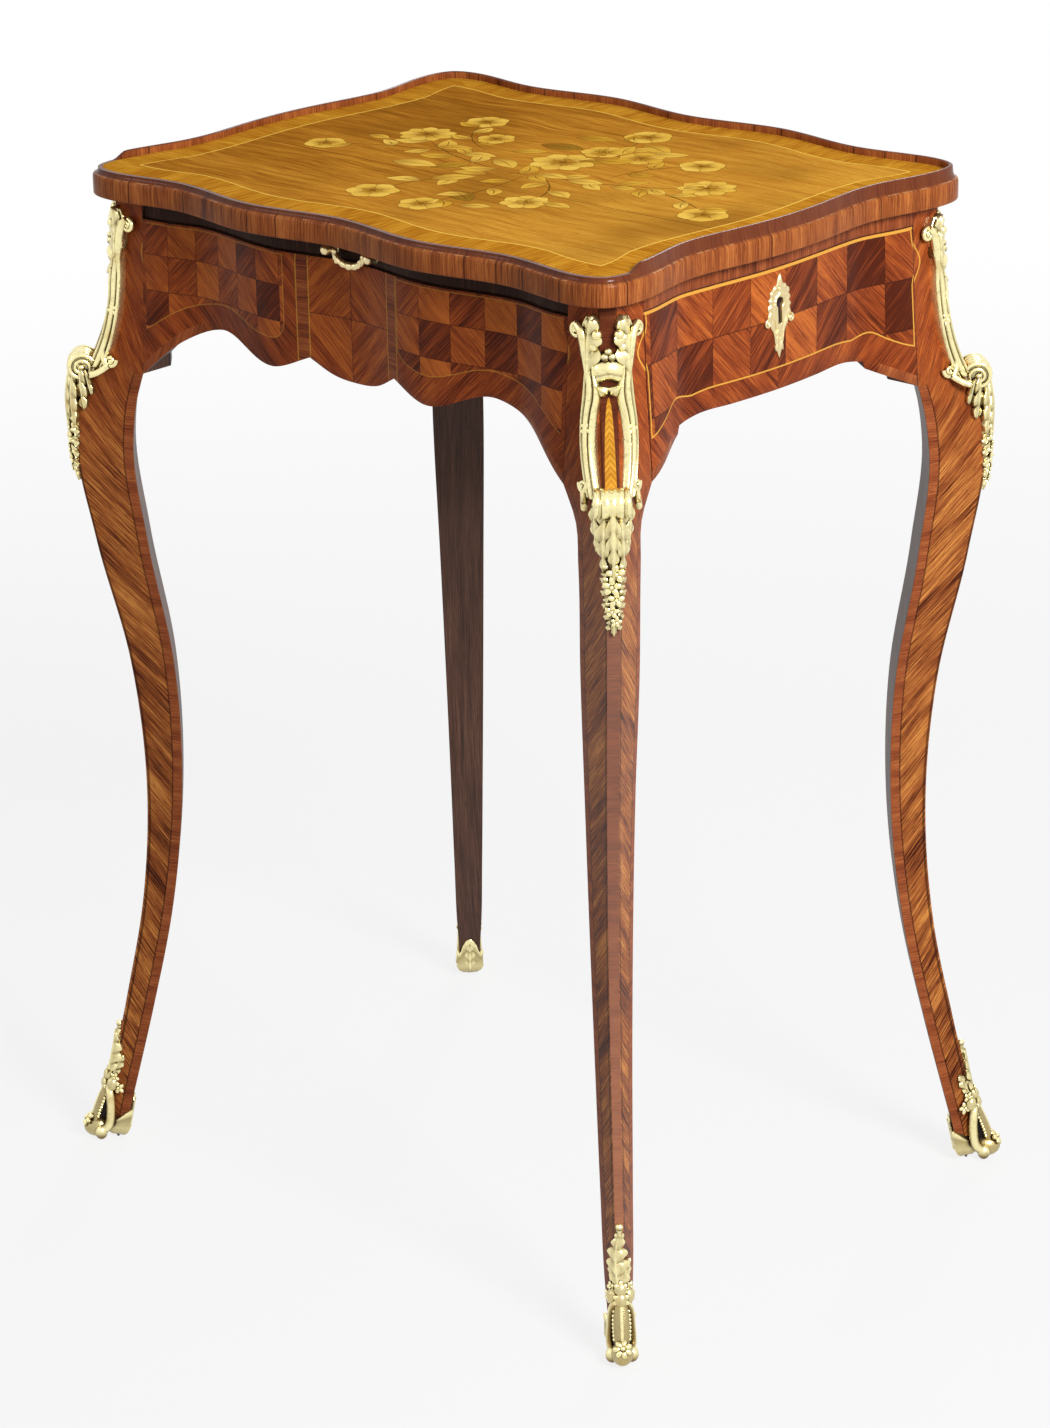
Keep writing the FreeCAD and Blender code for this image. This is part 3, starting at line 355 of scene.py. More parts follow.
def leaf(shape: Shape, place: Place, root: Spot, tip: Spot, half: float, lift: float,
         bow: float = 0.0, lobes: int = 3, curl: float = 0.0, stand: float = 0.0) -> None:
    """Adds a carved leaf: one sheet with a lobed margin, grooves between the lobes and a raised rib.

    With t along the bowed spine and q from margin to margin, a lobe is |sin(pi lobes t)|^0.7, the half width is half
    times sin(pi t^0.72)^0.55 times 0.5 + 0.5 lobe, the margins lean forward by |q|^1.5, and the height falls by q^2.

    Args:
        shape: where the shell goes.
        place: surface as a function of two distances and a lift.
        root, tip: ends of the spine.
        half, lift: half width and height.
        bow, lobes, curl: sideways bow of the spine, lobes on each side, extra height at the lobes' tips.
        stand: how far the root stands off the surface, easing to nothing at the tip.
    """
    root, tip = np.array(root, float), np.array(tip, float)
    run = tip - root
    length = np.hypot(*run)
    ahead = run / length
    side = np.array([-ahead[1], ahead[0]])
    t = np.linspace(0.0, 1.0, 9 * lobes + 4)[:, None]
    q = np.linspace(-1.0, 1.0, 13)[None, :]
    lobe = np.abs(np.sin(np.pi * lobes * t)) ** 0.7
    body = np.sin(np.pi * np.clip(t, 0.03, 0.985) ** 0.72) ** 0.55
    wide = q * half * body * (0.5 + 0.5 * lobe) + bow * 4 * t * (1 - t)
    far = length * t + 0.42 * length / lobes * np.abs(q) ** 1.5 * body * (1 - 0.7 * t)
    rib = np.exp(-(q / 0.15) ** 2) * (1 - 0.6 * t)
    crest = lift + stand * (1 - t) ** 1.3
    height = crest - 0.42 * lift * q ** 2 - 0.3 * lift * (1 - lobe) * np.abs(q) + 0.2 * lift * rib
    height = height + curl * np.abs(q) ** 3 * lobe
    under = np.maximum(height - 0.5 * lift - 1.4, -0.4)
    a, z = (root[i] + ahead[i] * far + side[i] * wide for i in (0, 1))
    # Tone for the gilt: painted highlight on the rib and the lobes' tips, painted shade (0.1) on the underside.
    uv = toned(len(t), 26, 0.1)
    uv[:, :13, 0] = np.clip(0.25 + 0.5 * lobe * (0.3 + 0.7 * np.abs(q)) + 0.7 * rib, 0, 1)
    shape.shell(pillow(place(a, z, height), place(a, z, under)), uv)


def blossom(shape: Shape, place: Place, at: Spot, size: float, lift: float, petals: int = 5,
            turn: float = 0.0) -> None:
    """Adds a flower: egg-shaped petals round a ball, standing on a surface."""
    spot = np.array([at[0]]), np.array([at[1]])
    centre = place(*spot, np.array([lift]))[0]
    out = place(*spot, np.array([lift + 1.0]))[0] - centre
    out /= np.linalg.norm(out)
    up = UP - UP @ out * out
    up /= np.linalg.norm(up)
    across = np.cross(up, out)
    for n in range(petals):
        angle = turn + 2 * np.pi * n / petals
        ray = np.cos(angle) * up + np.sin(angle) * across
        side = np.cross(out, ray)
        axes = (0.50 * size * ray, 0.36 * size * side, 0.26 * size * (out + 0.35 * ray))
        shape.shell(boss(centre + 0.52 * size * ray, axes, 6, 8), dome(6, 8))
    shape.shell(boss(centre + 0.12 * size * out, 0.26 * size * np.array([up, across, 1.2 * out]), 6, 8), dome(6, 8))


def volute(shape: Shape, place: Place, at: Spot, size: float, lift: float, way: float, start: float,
           turns: float = 1.6, squeeze: float = 1.0) -> None:
    """Adds a scroll: a round section on a spiral whose radius shrinks evenly, with a ball at its eye.

    Args:
        shape, place: where the shell goes, and the surface it lies on.
        at, size, lift: eye, outer radius and height above the surface.
        way: +1 or -1, the hand of the spiral.
        start: angle in degrees at which it starts.
        turns: turns of the spiral.
        squeeze: scale of distances across the surface's first direction.
    """
    t = np.linspace(0.0, 1.0, 30)
    angle = math.radians(start) + way * 2 * np.pi * turns * t
    radius = size * (1 - 0.72 * t)
    a, z = at[0] + squeeze * radius * np.cos(angle), at[1] + radius * np.sin(angle)
    cord(shape, place, a, z, lift + 0.30 * size * t, size * (0.42 - 0.14 * t))
    eye = place(np.array([at[0]]), np.array([at[1]]), np.array([lift + 0.3 * size]))[0]
    pearl(shape, eye, size * 0.30, 1.0, 6, 8)


# ---- finishes


def srgb(red: float, green: float, blue: float) -> Colour:
    """Linear colour from 0-255 screen values."""
    return tuple(((c / 255 + 0.055) / 1.055) ** 2.4 if c > 10 else c / 255 / 12.92 for c in (red, green, blue))


def operation(kind: str, words: str, swapped: bool = False) -> Callable[..., "Wire"]:
    """A method of Wire that adds one Math node.

    Args:
        kind: the node's operation.
        words: docstring of the method.
        swapped: True where the other value comes first.

    Returns:
        The method.
    """
    def method(self: "Wire", *others: "Value") -> "Wire":
        values = (self, *others)
        return self.bench.math(kind, *(values[::-1] if swapped else values))

    method.__doc__ = words
    return method


class Wire:
    """A shader value that takes part in plain arithmetic; each operation adds a Math node."""

    def __init__(self, bench: "Bench", socket: bpy.types.NodeSocket) -> None:
        """Holds a socket and the bench it belongs to."""
        self.bench, self.socket = bench, socket

    __add__ = __radd__ = operation("ADD", "Sum.")
    __sub__ = operation("SUBTRACT", "Difference.")
    __rsub__ = operation("SUBTRACT", "Difference the other way.", True)
    __mul__ = __rmul__ = operation("MULTIPLY", "Product.")
    __truediv__ = operation("DIVIDE", "Quotient.")
    __abs__ = operation("ABSOLUTE", "Size without sign.")
    __gt__ = operation("GREATER_THAN", "1 where greater, else 0.")
    __lt__ = operation("LESS_THAN", "1 where less, else 0.")
    floor = operation("FLOOR", "Whole part.")
    low = operation("MINIMUM", "The smaller of two.")
    high = operation("MAXIMUM", "The greater of two.")
    root = operation("SQRT", "Square root.")

    def ease(self, start: float, end: float) -> "Wire":
        """Smooth step from 0 at start to 1 at end."""
        return self.bench.wire("ShaderNodeMapRange", {"interpolation_type": "SMOOTHSTEP"},
                               {"Value": self, "From Min": start, "From Max": end})

    def line(self, half: float, soft: float = 0.25) -> "Wire":
        """1 within a half width of zero, fading over a soft edge."""
        return 1.0 - abs(self).ease(half, half + soft)


Value = Union[Wire, float]


class Bench:
    """Builds one material: a node method, the few patterns that finishes share, and the surface."""

    def __init__(self, name: str, tree: Union[bpy.types.NodeTree, None] = None) -> None:
        """Starts a material with an empty node tree, or empties the tree that is given."""
        if tree is None:
            self.material = bpy.data.materials.new(name)
            self.material.use_nodes = True
        self.tree = tree or self.material.node_tree
        self.tree.nodes.clear()

    def node(self, kind: str, settings: dict, sockets: dict) -> bpy.types.Node:
        """Adds a node.

        Args:
            kind: node type.
            settings: attributes, set first; "stops" gives a ramp's (position, colour) pairs.
            sockets: values or wires by socket name or number.

        Returns:
            The node.
        """
        node = self.tree.nodes.new(kind)
        for key, setting in settings.items():
            if key == "stops":
                ramp = node.color_ramp.elements
                while len(ramp) < len(setting):
                    ramp.new(0.5)
                for stop, (at, colour) in zip(ramp, setting):
                    stop.position, stop.color = at, (*colour, 1.0)
            else:
                setattr(node, key, setting)
        for key, value in sockets.items():
            socket = node.inputs[key]
            if isinstance(value, Wire):
                self.tree.links.new(value.socket, socket)
            elif socket.type == "RGBA":
                socket.default_value = (*value, 1.0)
            else:
                socket.default_value = value
        return node

    def wire(self, kind: str, settings: dict, sockets: dict, out: Union[int, str] = 0) -> Wire:
        """Adds a node and takes one of its outputs."""
        return Wire(self, self.node(kind, settings, sockets).outputs[out])

    def math(self, kind: str, *values: Value) -> Wire:
        """One Math node."""
        return self.wire("ShaderNodeMath", {"operation": kind}, dict(enumerate(values)))

    def vector(self, x: Value, y: Value, z: Value) -> Wire:
        """A vector from three values."""
        return self.wire("ShaderNodeCombineXYZ", {}, {0: x, 1: y, 2: z})

    def parts(self, vector: Wire) -> tuple[Wire, ...]:
        """The three values of a vector."""
        return tuple(Wire(self, out) for out in self.node("ShaderNodeSeparateXYZ", {}, {0: vector}).outputs)

    def uv(self, name: str) -> tuple[Wire, ...]:
        """The two values of one of the piece's UV maps."""
        return self.parts(self.wire("ShaderNodeUVMap", {"uv_map": name}, {}))[:2]

    def spot(self) -> tuple[Wire, ...]:
        """Object coordinates in millimetres."""
        return tuple(part * 1000.0 for part in self.parts(self.wire("ShaderNodeTexCoord", {}, {}, "Object")))

    def seen(self) -> Wire:
        """1 for rays that come straight from the eye, from a mirror or through glass."""
        rays = self.node("ShaderNodeLightPath", {}, {}).outputs
        eye, mirror, glass = (Wire(self, rays[f"Is {name} Ray"]) for name in ("Camera", "Glossy", "Transmission"))
        return eye.high(mirror).high(glass)

    def noise(self, vector: Wire, scale: float = 1.0, detail: float = 2.0) -> Wire:
        """Soft noise about 0.5."""
        return self.wire("ShaderNodeTexNoise", {}, {"Vector": vector, "Scale": scale, "Detail": detail})

    def chance(self, a: Value, b: Value, c: Value = 0.0) -> Wire:
        """A fixed random value for each cell."""
        return self.wire("ShaderNodeTexWhiteNoise", {"noise_dimensions": "3D"}, {"Vector": self.vector(a, b, c)})

    def ramp(self, level: Wire, stops: Sequence[tuple[float, Colour]]) -> Wire:
        """Colour ramp."""
        return self.wire("ShaderNodeValToRGB", {"stops": stops}, {0: level})

    def mix(self, first: Union[Wire, Colour], second: Union[Wire, Colour], factor: Wire) -> Wire:
        """Colour from first to second."""
        return self.wire("ShaderNodeMix", {"data_type": "RGBA"}, {0: factor, 6: first, 7: second}, 2)

    def bump(self, height: Wire, strength: float, distance: float) -> Wire:
        """Normal from a height."""
        return self.wire("ShaderNodeBump", {}, {"Height": height, "Strength": strength, "Distance": distance})

    def surface(self, sockets: dict) -> Finish:
        """Ends the material in one Principled surface."""
        self.node("ShaderNodeOutputMaterial", {}, {"Surface": self.wire("ShaderNodeBsdfPrincipled", {}, sockets)})
        return self.material


@dataclass(frozen=True)
class Wood:
    """A veneer: three tones and how strongly its streaks show."""

    dark: Colour
    mid: Colour
    light: Colour
    streak: float = 1.0

    def figure(self, bench: Bench, across: Value, along: Value, seed: Value = 0.0, lift: Value = 0.0) -> Wire:
        """Streaky grain: fine and broad noise drawn out along the grain, through the three tones, with dark pores.

        Args:
            bench: material in hand.
            across, along: millimetres across and along the grain.
            seed: another part of the noise for another leaf of veneer.
            lift: shift towards the light tone.

        Returns:
            Colour.
        """
        fine = bench.noise(bench.vector(across * 1.3, along * 0.04, seed), 1.0, 3.0)
        broad = bench.noise(bench.vector(across * 0.16, along * 0.012, seed + 3.7), 1.0, 2.0)
        level = (fine - 0.5) * (1.4 * self.streak) + (broad - 0.5) * (0.9 * self.streak) + 0.5 + lift
        tone = bench.ramp(level, ((0.18, self.dark), (0.5, self.mid), (0.84, self.light)))
        pore = bench.noise(bench.vector(across * 1.9, along * 0.16, seed + 9.1), 1.0, 1.0)
        return bench.mix(tone, self.dark, pore.ease(0.56, 0.72) * (0.55 * self.streak))


KINGWOOD = Wood(srgb(74, 28, 12), srgb(138, 62, 28), srgb(186, 100, 42), 0.85)
LEG_WOOD = Wood(srgb(64, 24, 11), srgb(148, 80, 38), srgb(204, 134, 66), 1.1)
CROSSBAND = Wood(srgb(90, 40, 22), srgb(138, 70, 38), srgb(170, 98, 54), 0.9)
EDGE_WOOD = Wood(srgb(88, 40, 18), srgb(146, 78, 38), srgb(182, 112, 56), 0.8)
SATINWOOD = Wood(srgb(150, 92, 24), srgb(196, 133, 44), srgb(218, 160, 60), 0.8)
GOLDEN = Wood(srgb(172, 108, 26), srgb(206, 146, 44), srgb(226, 172, 66), 0.8)
OAK = Wood(srgb(104, 74, 44), srgb(146, 110, 70), srgb(174, 140, 94), 0.9)
WALNUT = Wood(srgb(44, 26, 19), srgb(78, 50, 38), srgb(102, 70, 54), 0.8)
# Near-black wood laid as painted shade, in the foot mounts' rings and the keyhole's walls.
PAINTED_SHADE = Wood(srgb(20, 11, 8), srgb(34, 18, 12), srgb(48, 27, 18), 0.8)
BOXWOOD = srgb(206, 150, 62)
SHADOW = srgb(38, 15, 9)


def polish(bench: Bench, colour: Wire, rough: float = 0.30, coat: Value = 0.0,
           gloss: float = 0.07) -> Finish:
    """Waxed and polished wood: roughness wanders a little; a clear coat lies where coat says."""
    wear = bench.noise(bench.vector(*bench.spot()), 0.03, 3.0)
    return bench.surface({"Base Color": colour, "Roughness": (wear - 0.5) * 0.16 + rough, "Coat Weight": coat,
                          "Coat Roughness": 0.10, "Specular IOR Level": gloss})


@dataclass(frozen=True)
class PlainWood:
    """Solid wood with the grain along one axis."""

    name: str
    wood: Wood
    grain: Grain
    rough: float = 0.5

    def finish(self) -> Finish:
        """The material."""
        bench = Bench(self.name)
        spot = list(bench.spot())
        along = spot.pop(self.grain.value)
        colour = self.wood.figure(bench, spot[0] + spot[1] * 0.7, along, 1.3)
        return bench.surface({"Base Color": colour, "Roughness": self.rough, "Specular IOR Level": 0.3})


@dataclass(frozen=True)
class CrossGrain:
    """Veneer with its grain square to the run, on the slide's edge and the rail over the drawer."""

    name: str
    wood: Wood
    lift: float
    rough: float

    def finish(self) -> Finish:
        """The material."""
        bench = Bench(self.name)
        along, level = bench.uv("face")
        return polish(bench, self.wood.figure(bench, along, level, 12.0, self.lift), self.rough)


def diagonal(bench: Bench, wood: Wood, a: Wire, z: Wire, way: Value, seed: Value = 0.0, lift: Value = 0.0) -> Wire:
    """Veneer whose grain runs at 45 degrees; way +1 or -1 leans it."""
    return wood.figure(bench, (a * way + z) * 0.707, (z * way - a) * 0.707, seed, lift)


def cusp(z: Wire, level: float, half: float = 16.0) -> Wire:
    """Bow of the upright stringing: 1 at a level, easing to 0 at a half length."""
    return 1.0 - abs(z - level).ease(0.0, half)


def joint(at: Wire, first: float, pitch: float) -> Wire:
    """Signed distance from the nearest of evenly spaced joints."""
    step = (at - first) / pitch
    return (step - (step + 0.5).floor()) * pitch


@dataclass(frozen=True)
class LegFaces:
    """Leg veneer: grain falls from the arris; a cross-banded strip follows the inner edge, and stringing the panels."""

    blend: Spot = (470.0, 590.0)
    strip: float = 6.6
    strip_end: Spot = (548.0, 552.0)
    level: float = 629.0
    drawer_line: Four = (125.2, 7.5, 575.0, 652.0)
    front_line: Four = (176.5, 5.0, 577.0, 650.0)
    arris: float = 5.0

    def finish(self) -> Finish:
        """Draws it in UV millimetres: across, height; distance from the inner edge, run along the panel."""
        bench = Bench("leg_faces")
        across, z = bench.uv("face")
        inner, run = bench.uv("edge")
        seed = ((across > 0.0) * 2.0 - 1.0) * 5.0
        width = abs(across)
        veneer = diagonal(bench, LEG_WOOD, width, z * 0.9, 1.0, seed)
        post = KINGWOOD.figure(bench, width + z * 0.8, width - z, seed)
        veneer = bench.mix(veneer, post, z.ease(*self.blend))
        strip = CROSSBAND.figure(bench, z, inner, 9.0, 0.05)
        below = 1.0 - z.ease(*self.strip_end)
        colour = bench.mix(veneer, strip, (1.0 - inner.ease(self.strip, self.strip + 0.3)) * below)
        colour = bench.mix(colour, SHADOW, (inner - (self.strip + 0.4)).line(0.3, 0.4) * below * 0.7)
        point = cusp(z, self.level)

        def upright(line: Four, half: float) -> Wire:
            """One upright line of the stringing."""
            at, bow, low, high = line
            return (run - at - point * bow).line(half) * (z > low) * (z < high)

        string = (upright(self.drawer_line, 0.45) * (across > 0.0)).high(
            upright(self.front_line, 0.4) * (across < 0.0) * 0.6)
        colour = bench.mix(colour, BOXWOOD, string)
        colour = bench.mix(colour, SHADOW, (width - self.arris).line(0.5, 0.6) * 0.7)
        return polish(bench, colour)


@dataclass(frozen=True)
class LegArris:
    """Arris strip: cross-grain veneer, redder at the ankle, with a lancet of chevron inlay in the mount's opening."""

    ankle: Spot = (60.0, 330.0)
    painted_sheen: Spot = (470.0, 540.0)
    post: Spot = (546.0, 552.0)
    lancet: Four = (556.0, 52.0, 3.5, 549.0)
    pitch: float = 0.27

    def finish(self) -> Finish:
        """Draws it in UV millimetres: the lancet's half width is that of an ellipse above its foot."""
        bench = Bench("leg_arris")
        across, z = bench.uv("face")
        off = abs(across)
        strip = CROSSBAND.figure(bench, z * 0.8, across, 2.0, 0.25 - z.ease(*self.ankle) * 0.33)
        chevron = GOLDEN.figure(bench, z + off * 0.9, across, 4.0)
        tick = (z + off * 1.3) * self.pitch
        tick = tick - tick.floor()
        chevron = bench.mix(chevron, srgb(150, 92, 30), tick.ease(0.4, 0.95) * 0.7)
        foot, length, wide, start = self.lancet
        rise = ((z - foot) / length).high(0.0)
        half = (1.0 - rise * rise).high(0.0).root() * wide
        # Painted sheen: a greyish reflection colour laid over the strip low on the leg, fading out above.
        strip = bench.mix(strip, srgb(152, 120, 106), (1.0 - z.ease(*self.painted_sheen)) * 0.4)
        strip = bench.mix(strip, srgb(70, 30, 18), z.ease(*self.post) * 0.7)
        return polish(bench, bench.mix(strip, chevron, (half - off).ease(0.0, 0.3) * (z > start)))


@dataclass(frozen=True)
class Parquetry:
    """Squares of diagonal veneer in a stringing border on a serpentine panel.

    Attributes:
        name: material name.
        columns: (joint, pitch) of the squares left and right of the middle.
        rows: (joint, pitch) of the rows.
        lines: distance from the middle of the stringing's uprights, left and right, or None for one panel.
        ends: distance from the middle of the outer uprights.
        rise: stringing above the lower edge, in the middle and at the ends, and where the change lies.
        top: upper edge of the panel.
        centre: bounds of the quartered centre, its joint and row joint, or None.
        string: half width of the stringing.
        bold: 1 where the stringing also runs up the ends and along the top, else 0.
        strip: where the cross-banded strip on the lower edge begins.
        wood: veneer of the squares.
        bow, level: outward cusp of the outer uprights, and its height.
        margin: inset of the stringing below the top.
        corner: radius of the stringing's corners, and width of the bands beside the centre.
    """

    name: str
    columns: tuple[Spot, Spot]
    rows: Spot
    lines: Union[Spot, None]
    ends: float
    rise: Four
    top: float
    centre: Union[Four, None] = None
    string: float = 0.22
    bold: float = 0.0
    strip: float = 134.0
    wood: Wood = KINGWOOD
    bow: float = 4.0
    level: float = 630.0
    margin: float = 1.6
    corner: float = 9.0

    def quartered(self, bench: Bench, a: Wire, z: Wire, colour: Wire) -> Wire:
        """Lays the centre over a panel: four leaves that meet in a joint, between cross-banded strips."""
        start, stop, middle, level = self.centre
        band = self.corner
        lean = ((a > middle) * 2.0 - 1.0) * ((z > level) * 2.0 - 1.0)
        quarter = diagonal(bench, self.wood, a, z, lean, lean * 3.0 + 50.0, 0.10)
        quarter = bench.mix(quarter, SHADOW, ((a - middle).line(0.2).high((z - level).line(0.2))) * 0.6)
        strip = CROSSBAND.figure(bench, z, a, 31.0)
        colour = bench.mix(colour, strip, (a > start - band) * (a < stop + band))
        colour = bench.mix(colour, quarter, (a > start) * (a < stop))
        fine = (a - start).line(0.3)
        for at in (stop, start - band, stop + band):
            fine = fine.high((a - at).line(0.3))
        return bench.mix(colour, BOXWOOD, fine * 0.55)

    def finish(self) -> Finish:
        """Draws the panel in UV millimetres: along, height; height over the lower edge, and over its smoothed line."""
        bench = Bench(self.name)
        a, z = bench.uv("face")
        over, rise = bench.uv("edge")
        right = a > 0.0
        left = 1.0 - right
        far = abs(a)
        (lj, lp), (rj, rp) = self.columns
        column = ((a - lj) / lp).floor() * left + ((a - rj) / rp + 40.0).floor() * right
        row = ((z - self.rows[0]) / self.rows[1]).floor()
        parity = (column + row) * 0.5
        parity = (parity - parity.floor()) * 4.0 - 1.0
        pick = bench.chance(column, row, 2.0)
        # Painted light: parity * 0.14 paints squares of one grain lean lighter and the others darker, standing for how
        # light catches the grain; on bold panels the half towards positive along is painted darker as shade.
        lift = (pick - 0.5) * 0.3 + parity * 0.14 - a.ease(10.0, 110.0) * 0.2 * self.bold
        squares = diagonal(bench, self.wood, a, z, parity, column * 7.3 + row * 3.1, lift)
        border = diagonal(bench, self.wood, a, z, 1.0 - right * 2.0, 21.0, -0.05)
        low, high, start, end = self.rise
        inside = inset = rise - (far.ease(start, end) * (high - low) + low)
        outer = cusp(z, self.level) * self.bow + self.ends - far
        if self.lines:
            inner = (a - self.lines[1]) * right + (0.0 - a - self.lines[0]) * left
            gap_a, gap_z = self.corner - inner, self.corner - inset
            out_a, out_z = gap_a.high(0.0), gap_z.high(0.0)
            inside = self.corner - (out_a * out_a + out_z * out_z).root() - gap_a.high(gap_z).low(0.0)
        inside = inside.low(outer).low(self.top - self.margin - z)
        colour = bench.mix(border, squares, inside > 0.0)
        shown = (outer > 0.5 - self.bold).high(self.bold) * (0.45 + 0.5 * self.bold)
        colour = bench.mix(colour, BOXWOOD, inside.line(self.string, 0.2) * shown)
        if self.centre:
            colour = self.quartered(bench, a, z, colour)
        joints = (joint(a, lj, lp).line(0.15) * left).high(joint(a, rj, rp).line(0.15) * right)
        joints = joints.high(joint(z, *self.rows).line(0.01 * self.rows[1], 0.01 * self.rows[1]))
        colour = bench.mix(colour, SHADOW, joints * (inside > 0.6) * 0.55)
        strip = CROSSBAND.figure(bench, a - z * 0.4, over, 9.0, 0.05)
        colour = bench.mix(colour, strip, (1.0 - over.ease(6.4, 6.8)) * far.ease(self.strip, self.strip + 4.0))
        colour = bench.mix(colour, BOXWOOD, (z - self.top + 0.9).line(0.5) * self.bold)
        return polish(bench, colour)


@dataclass(frozen=True)
class EdgeWood:
    """Top edge: grain square to the run, with a few joints; the hollow is dark under a thin clear coat."""

    pitch: float = 0.045
    hollow: Four = (14.4, 15.6, 24.5, 26.0)
    arris: float = 14.2

    def finish(self) -> Finish:
        """Draws it in UV millimetres: along the run, round the section."""
        bench = Bench("edge_wood")
        along, level = bench.uv("face")
        colour = EDGE_WOOD.figure(bench, along * 0.8, level, 6.0)
        length = along * self.pitch
        whole = length.floor()
        crack = bench.chance(whole, 3.0) > 0.6
        colour = bench.mix(colour, SHADOW, (length - whole - 0.5).line(0.012, 0.02) * crack * 0.8)
        hollow = level.ease(*self.hollow[:2]) * (1.0 - level.ease(*self.hollow[2:]))
        colour = bench.mix(colour, srgb(86, 36, 17), hollow * 0.8)
        # Painted highlight: a pale line on the outer arris stands for the polish's glint, broken into patches like
        # wear.
        wear_and_glint = bench.noise(bench.vector(along, level, 0.0), 0.25, 2.0).ease(0.5, 0.62)
        colour = bench.mix(colour, srgb(190, 150, 110), (level - self.arris).line(0.2, 0.4) * wear_and_glint * 0.7)
        return polish(bench, colour, 0.26, hollow * 0.18)


@dataclass(frozen=True)
class TopField:
    """Field of the top: satin veneer along X in leaves, wavy dark streaks, an old joint and wandering tone."""

    leaf: Spot = (-41.0, 83.0)
    wave: float = 26.0
    crack: Spot = (-42.5, 0.017)
    seam: float = 60.0

    def finish(self) -> Finish:
        """Draws it in millimetres of the top."""
        bench = Bench("top_field")
        x, y, _ = bench.spot()
        sheet = ((y - self.leaf[0]) / self.leaf[1]).floor()
        grain = y + (bench.noise(bench.vector(x, y, sheet), 0.012, 1.0) - 0.5) * self.wave
        # Painted light: x * 0.0011 - y * 0.0002 lightens the field towards +X and the front, as light falls across the
        # top.
        colour = SATINWOOD.figure(bench, grain, x, sheet * 4.0, x * 0.0011 - y * 0.0002)
        streak = bench.noise(bench.vector(x * 0.012, grain * 0.34, sheet + 8.0), 1.0, 3.0)
        colour = bench.mix(colour, srgb(122, 70, 20), streak.ease(0.54, 0.72) * 0.35)
        cloud = bench.noise(bench.vector(x, y, 0.0), 0.008, 2.0)
        colour = bench.mix(colour, srgb(132, 82, 22), cloud.ease(0.45, 0.75) * 0.6)
        crack = (y - self.crack[0] - x * self.crack[1]).line(0.25, 0.3)
        colour = bench.mix(colour, srgb(84, 48, 20), crack.high((y - self.seam).line(0.15, 0.3) * 0.5) * 0.75)
        return polish(bench, colour, 0.36, 0.0, 0.0)


@dataclass(frozen=True)
class TopBanding:
    """Golden cross-banding round the field: its grain turns with the side it lies on."""

    ratio: float = 0.79
    lift: float = -0.15

    def finish(self) -> Finish:
        """The material."""
        bench = Bench("top_banding")
        x, y, _ = bench.spot()
        end = (abs(x) * self.ratio > abs(y)) * 1.0
        side = 1.0 - end
        colour = GOLDEN.figure(bench, (y * end + x * side) * 0.5, x * end + y * side, end * 3.0, self.lift)
        return polish(bench, colour, 0.34, 0.0, 0.0)


@dataclass(frozen=True)
class Inlay:
    """Marquetry woods: tone and sand shading come from the inlay's own UV map."""

    tones: tuple = ((0.0, srgb(84, 50, 16)), (0.25, srgb(138, 98, 30)), (0.5, srgb(212, 160, 50)),
                    (1.0, srgb(250, 210, 98)))
    burnt: Colour = srgb(140, 84, 26)

    def finish(self) -> Finish:
        """The material."""
        bench = Bench("inlay")
        tone, shade = bench.uv("face")
        x, y, _ = bench.spot()
        grain = bench.noise(bench.vector(x * 0.9, y * 0.25, 0.0), 1.0, 2.0)
        colour = bench.ramp(tone + (grain - 0.5) * 0.24 * (tone > 0.06), self.tones)
        return polish(bench, bench.mix(colour, self.burnt, (1.0 - shade) * 0.7), 0.36, 0.0, 0.0)


@dataclass(frozen=True)
class Ormolu:
    """Gilt bronze: pale and bright on the crests, brown where the casting lies in its own folds, lightly chased."""

    crest: Colour = srgb(255, 243, 184)
    foot: Colour = srgb(116, 86, 34)
    cloud: Colour = srgb(206, 172, 96)
    speck: Colour = srgb(124, 94, 40)
    fold_shade: Colour = srgb(70, 50, 17)
    reach: float = 0.005

    def finish(self) -> Finish:
        """The material."""
        bench = Bench("ormolu")
        crest, _ = bench.uv("face")
        spot = bench.vector(*bench.spot())
        cloud = bench.noise(spot, 0.06, 3.0)
        chase = bench.noise(spot, 0.9, 2.0)
        speck = bench.noise(spot, 0.35, 2.0)
        shade = bench.wire("ShaderNodeAmbientOcclusion", {"only_local": True, "samples": 8},
                           {"Distance": self.reach}, "AO")
        # Painted highlight and shade: the UV tone makes crests pale and feet brown, and ambient occlusion paints shade
        # into the folds.
        gilt = bench.mix(self.foot, self.crest, crest.ease(-0.05, 0.85))
        gilt = bench.mix(gilt, self.cloud, cloud.ease(0.5, 0.8) * 0.5)
        gilt = bench.mix(gilt, self.speck, speck.ease(0.5, 0.75) * 0.25)
        gilt = bench.mix(self.fold_shade, gilt, shade.ease(0.2, 0.9))
        return bench.surface({"Base Color": gilt, "Metallic": crest * 0.15 + 0.8,
                              "Roughness": cloud * 0.2 + 0.22 - crest * 0.12,
                              "Normal": bench.bump(chase, 0.3, 0.0006)})


@dataclass(frozen=True)
class LockMetal:
    """Plain lock metal with faint wear."""

    name: str
    tone: Colour
    wear_and_glint: Colour
    rough: float

    def finish(self) -> Finish:
        """The material."""
        bench = Bench(self.name)
        cloud = bench.noise(bench.vector(*bench.spot()), 0.12, 3.0)
        colour = bench.mix(self.tone, self.wear_and_glint, cloud.ease(0.4, 0.7))
        return bench.surface({"Base Color": colour, "Metallic": 1.0, "Roughness": cloud * 0.15 + self.rough})


# LOCK_BRASS is painted shade: its brass is made near black so the lock seen through the keyhole reads as shadow.
LOCK_BRASS = LockMetal("lock_brass", srgb(40, 31, 18), srgb(24, 18, 11), 0.5)
LOCK_STEEL = LockMetal("lock_steel", srgb(150, 148, 144), srgb(104, 100, 96), 0.3)


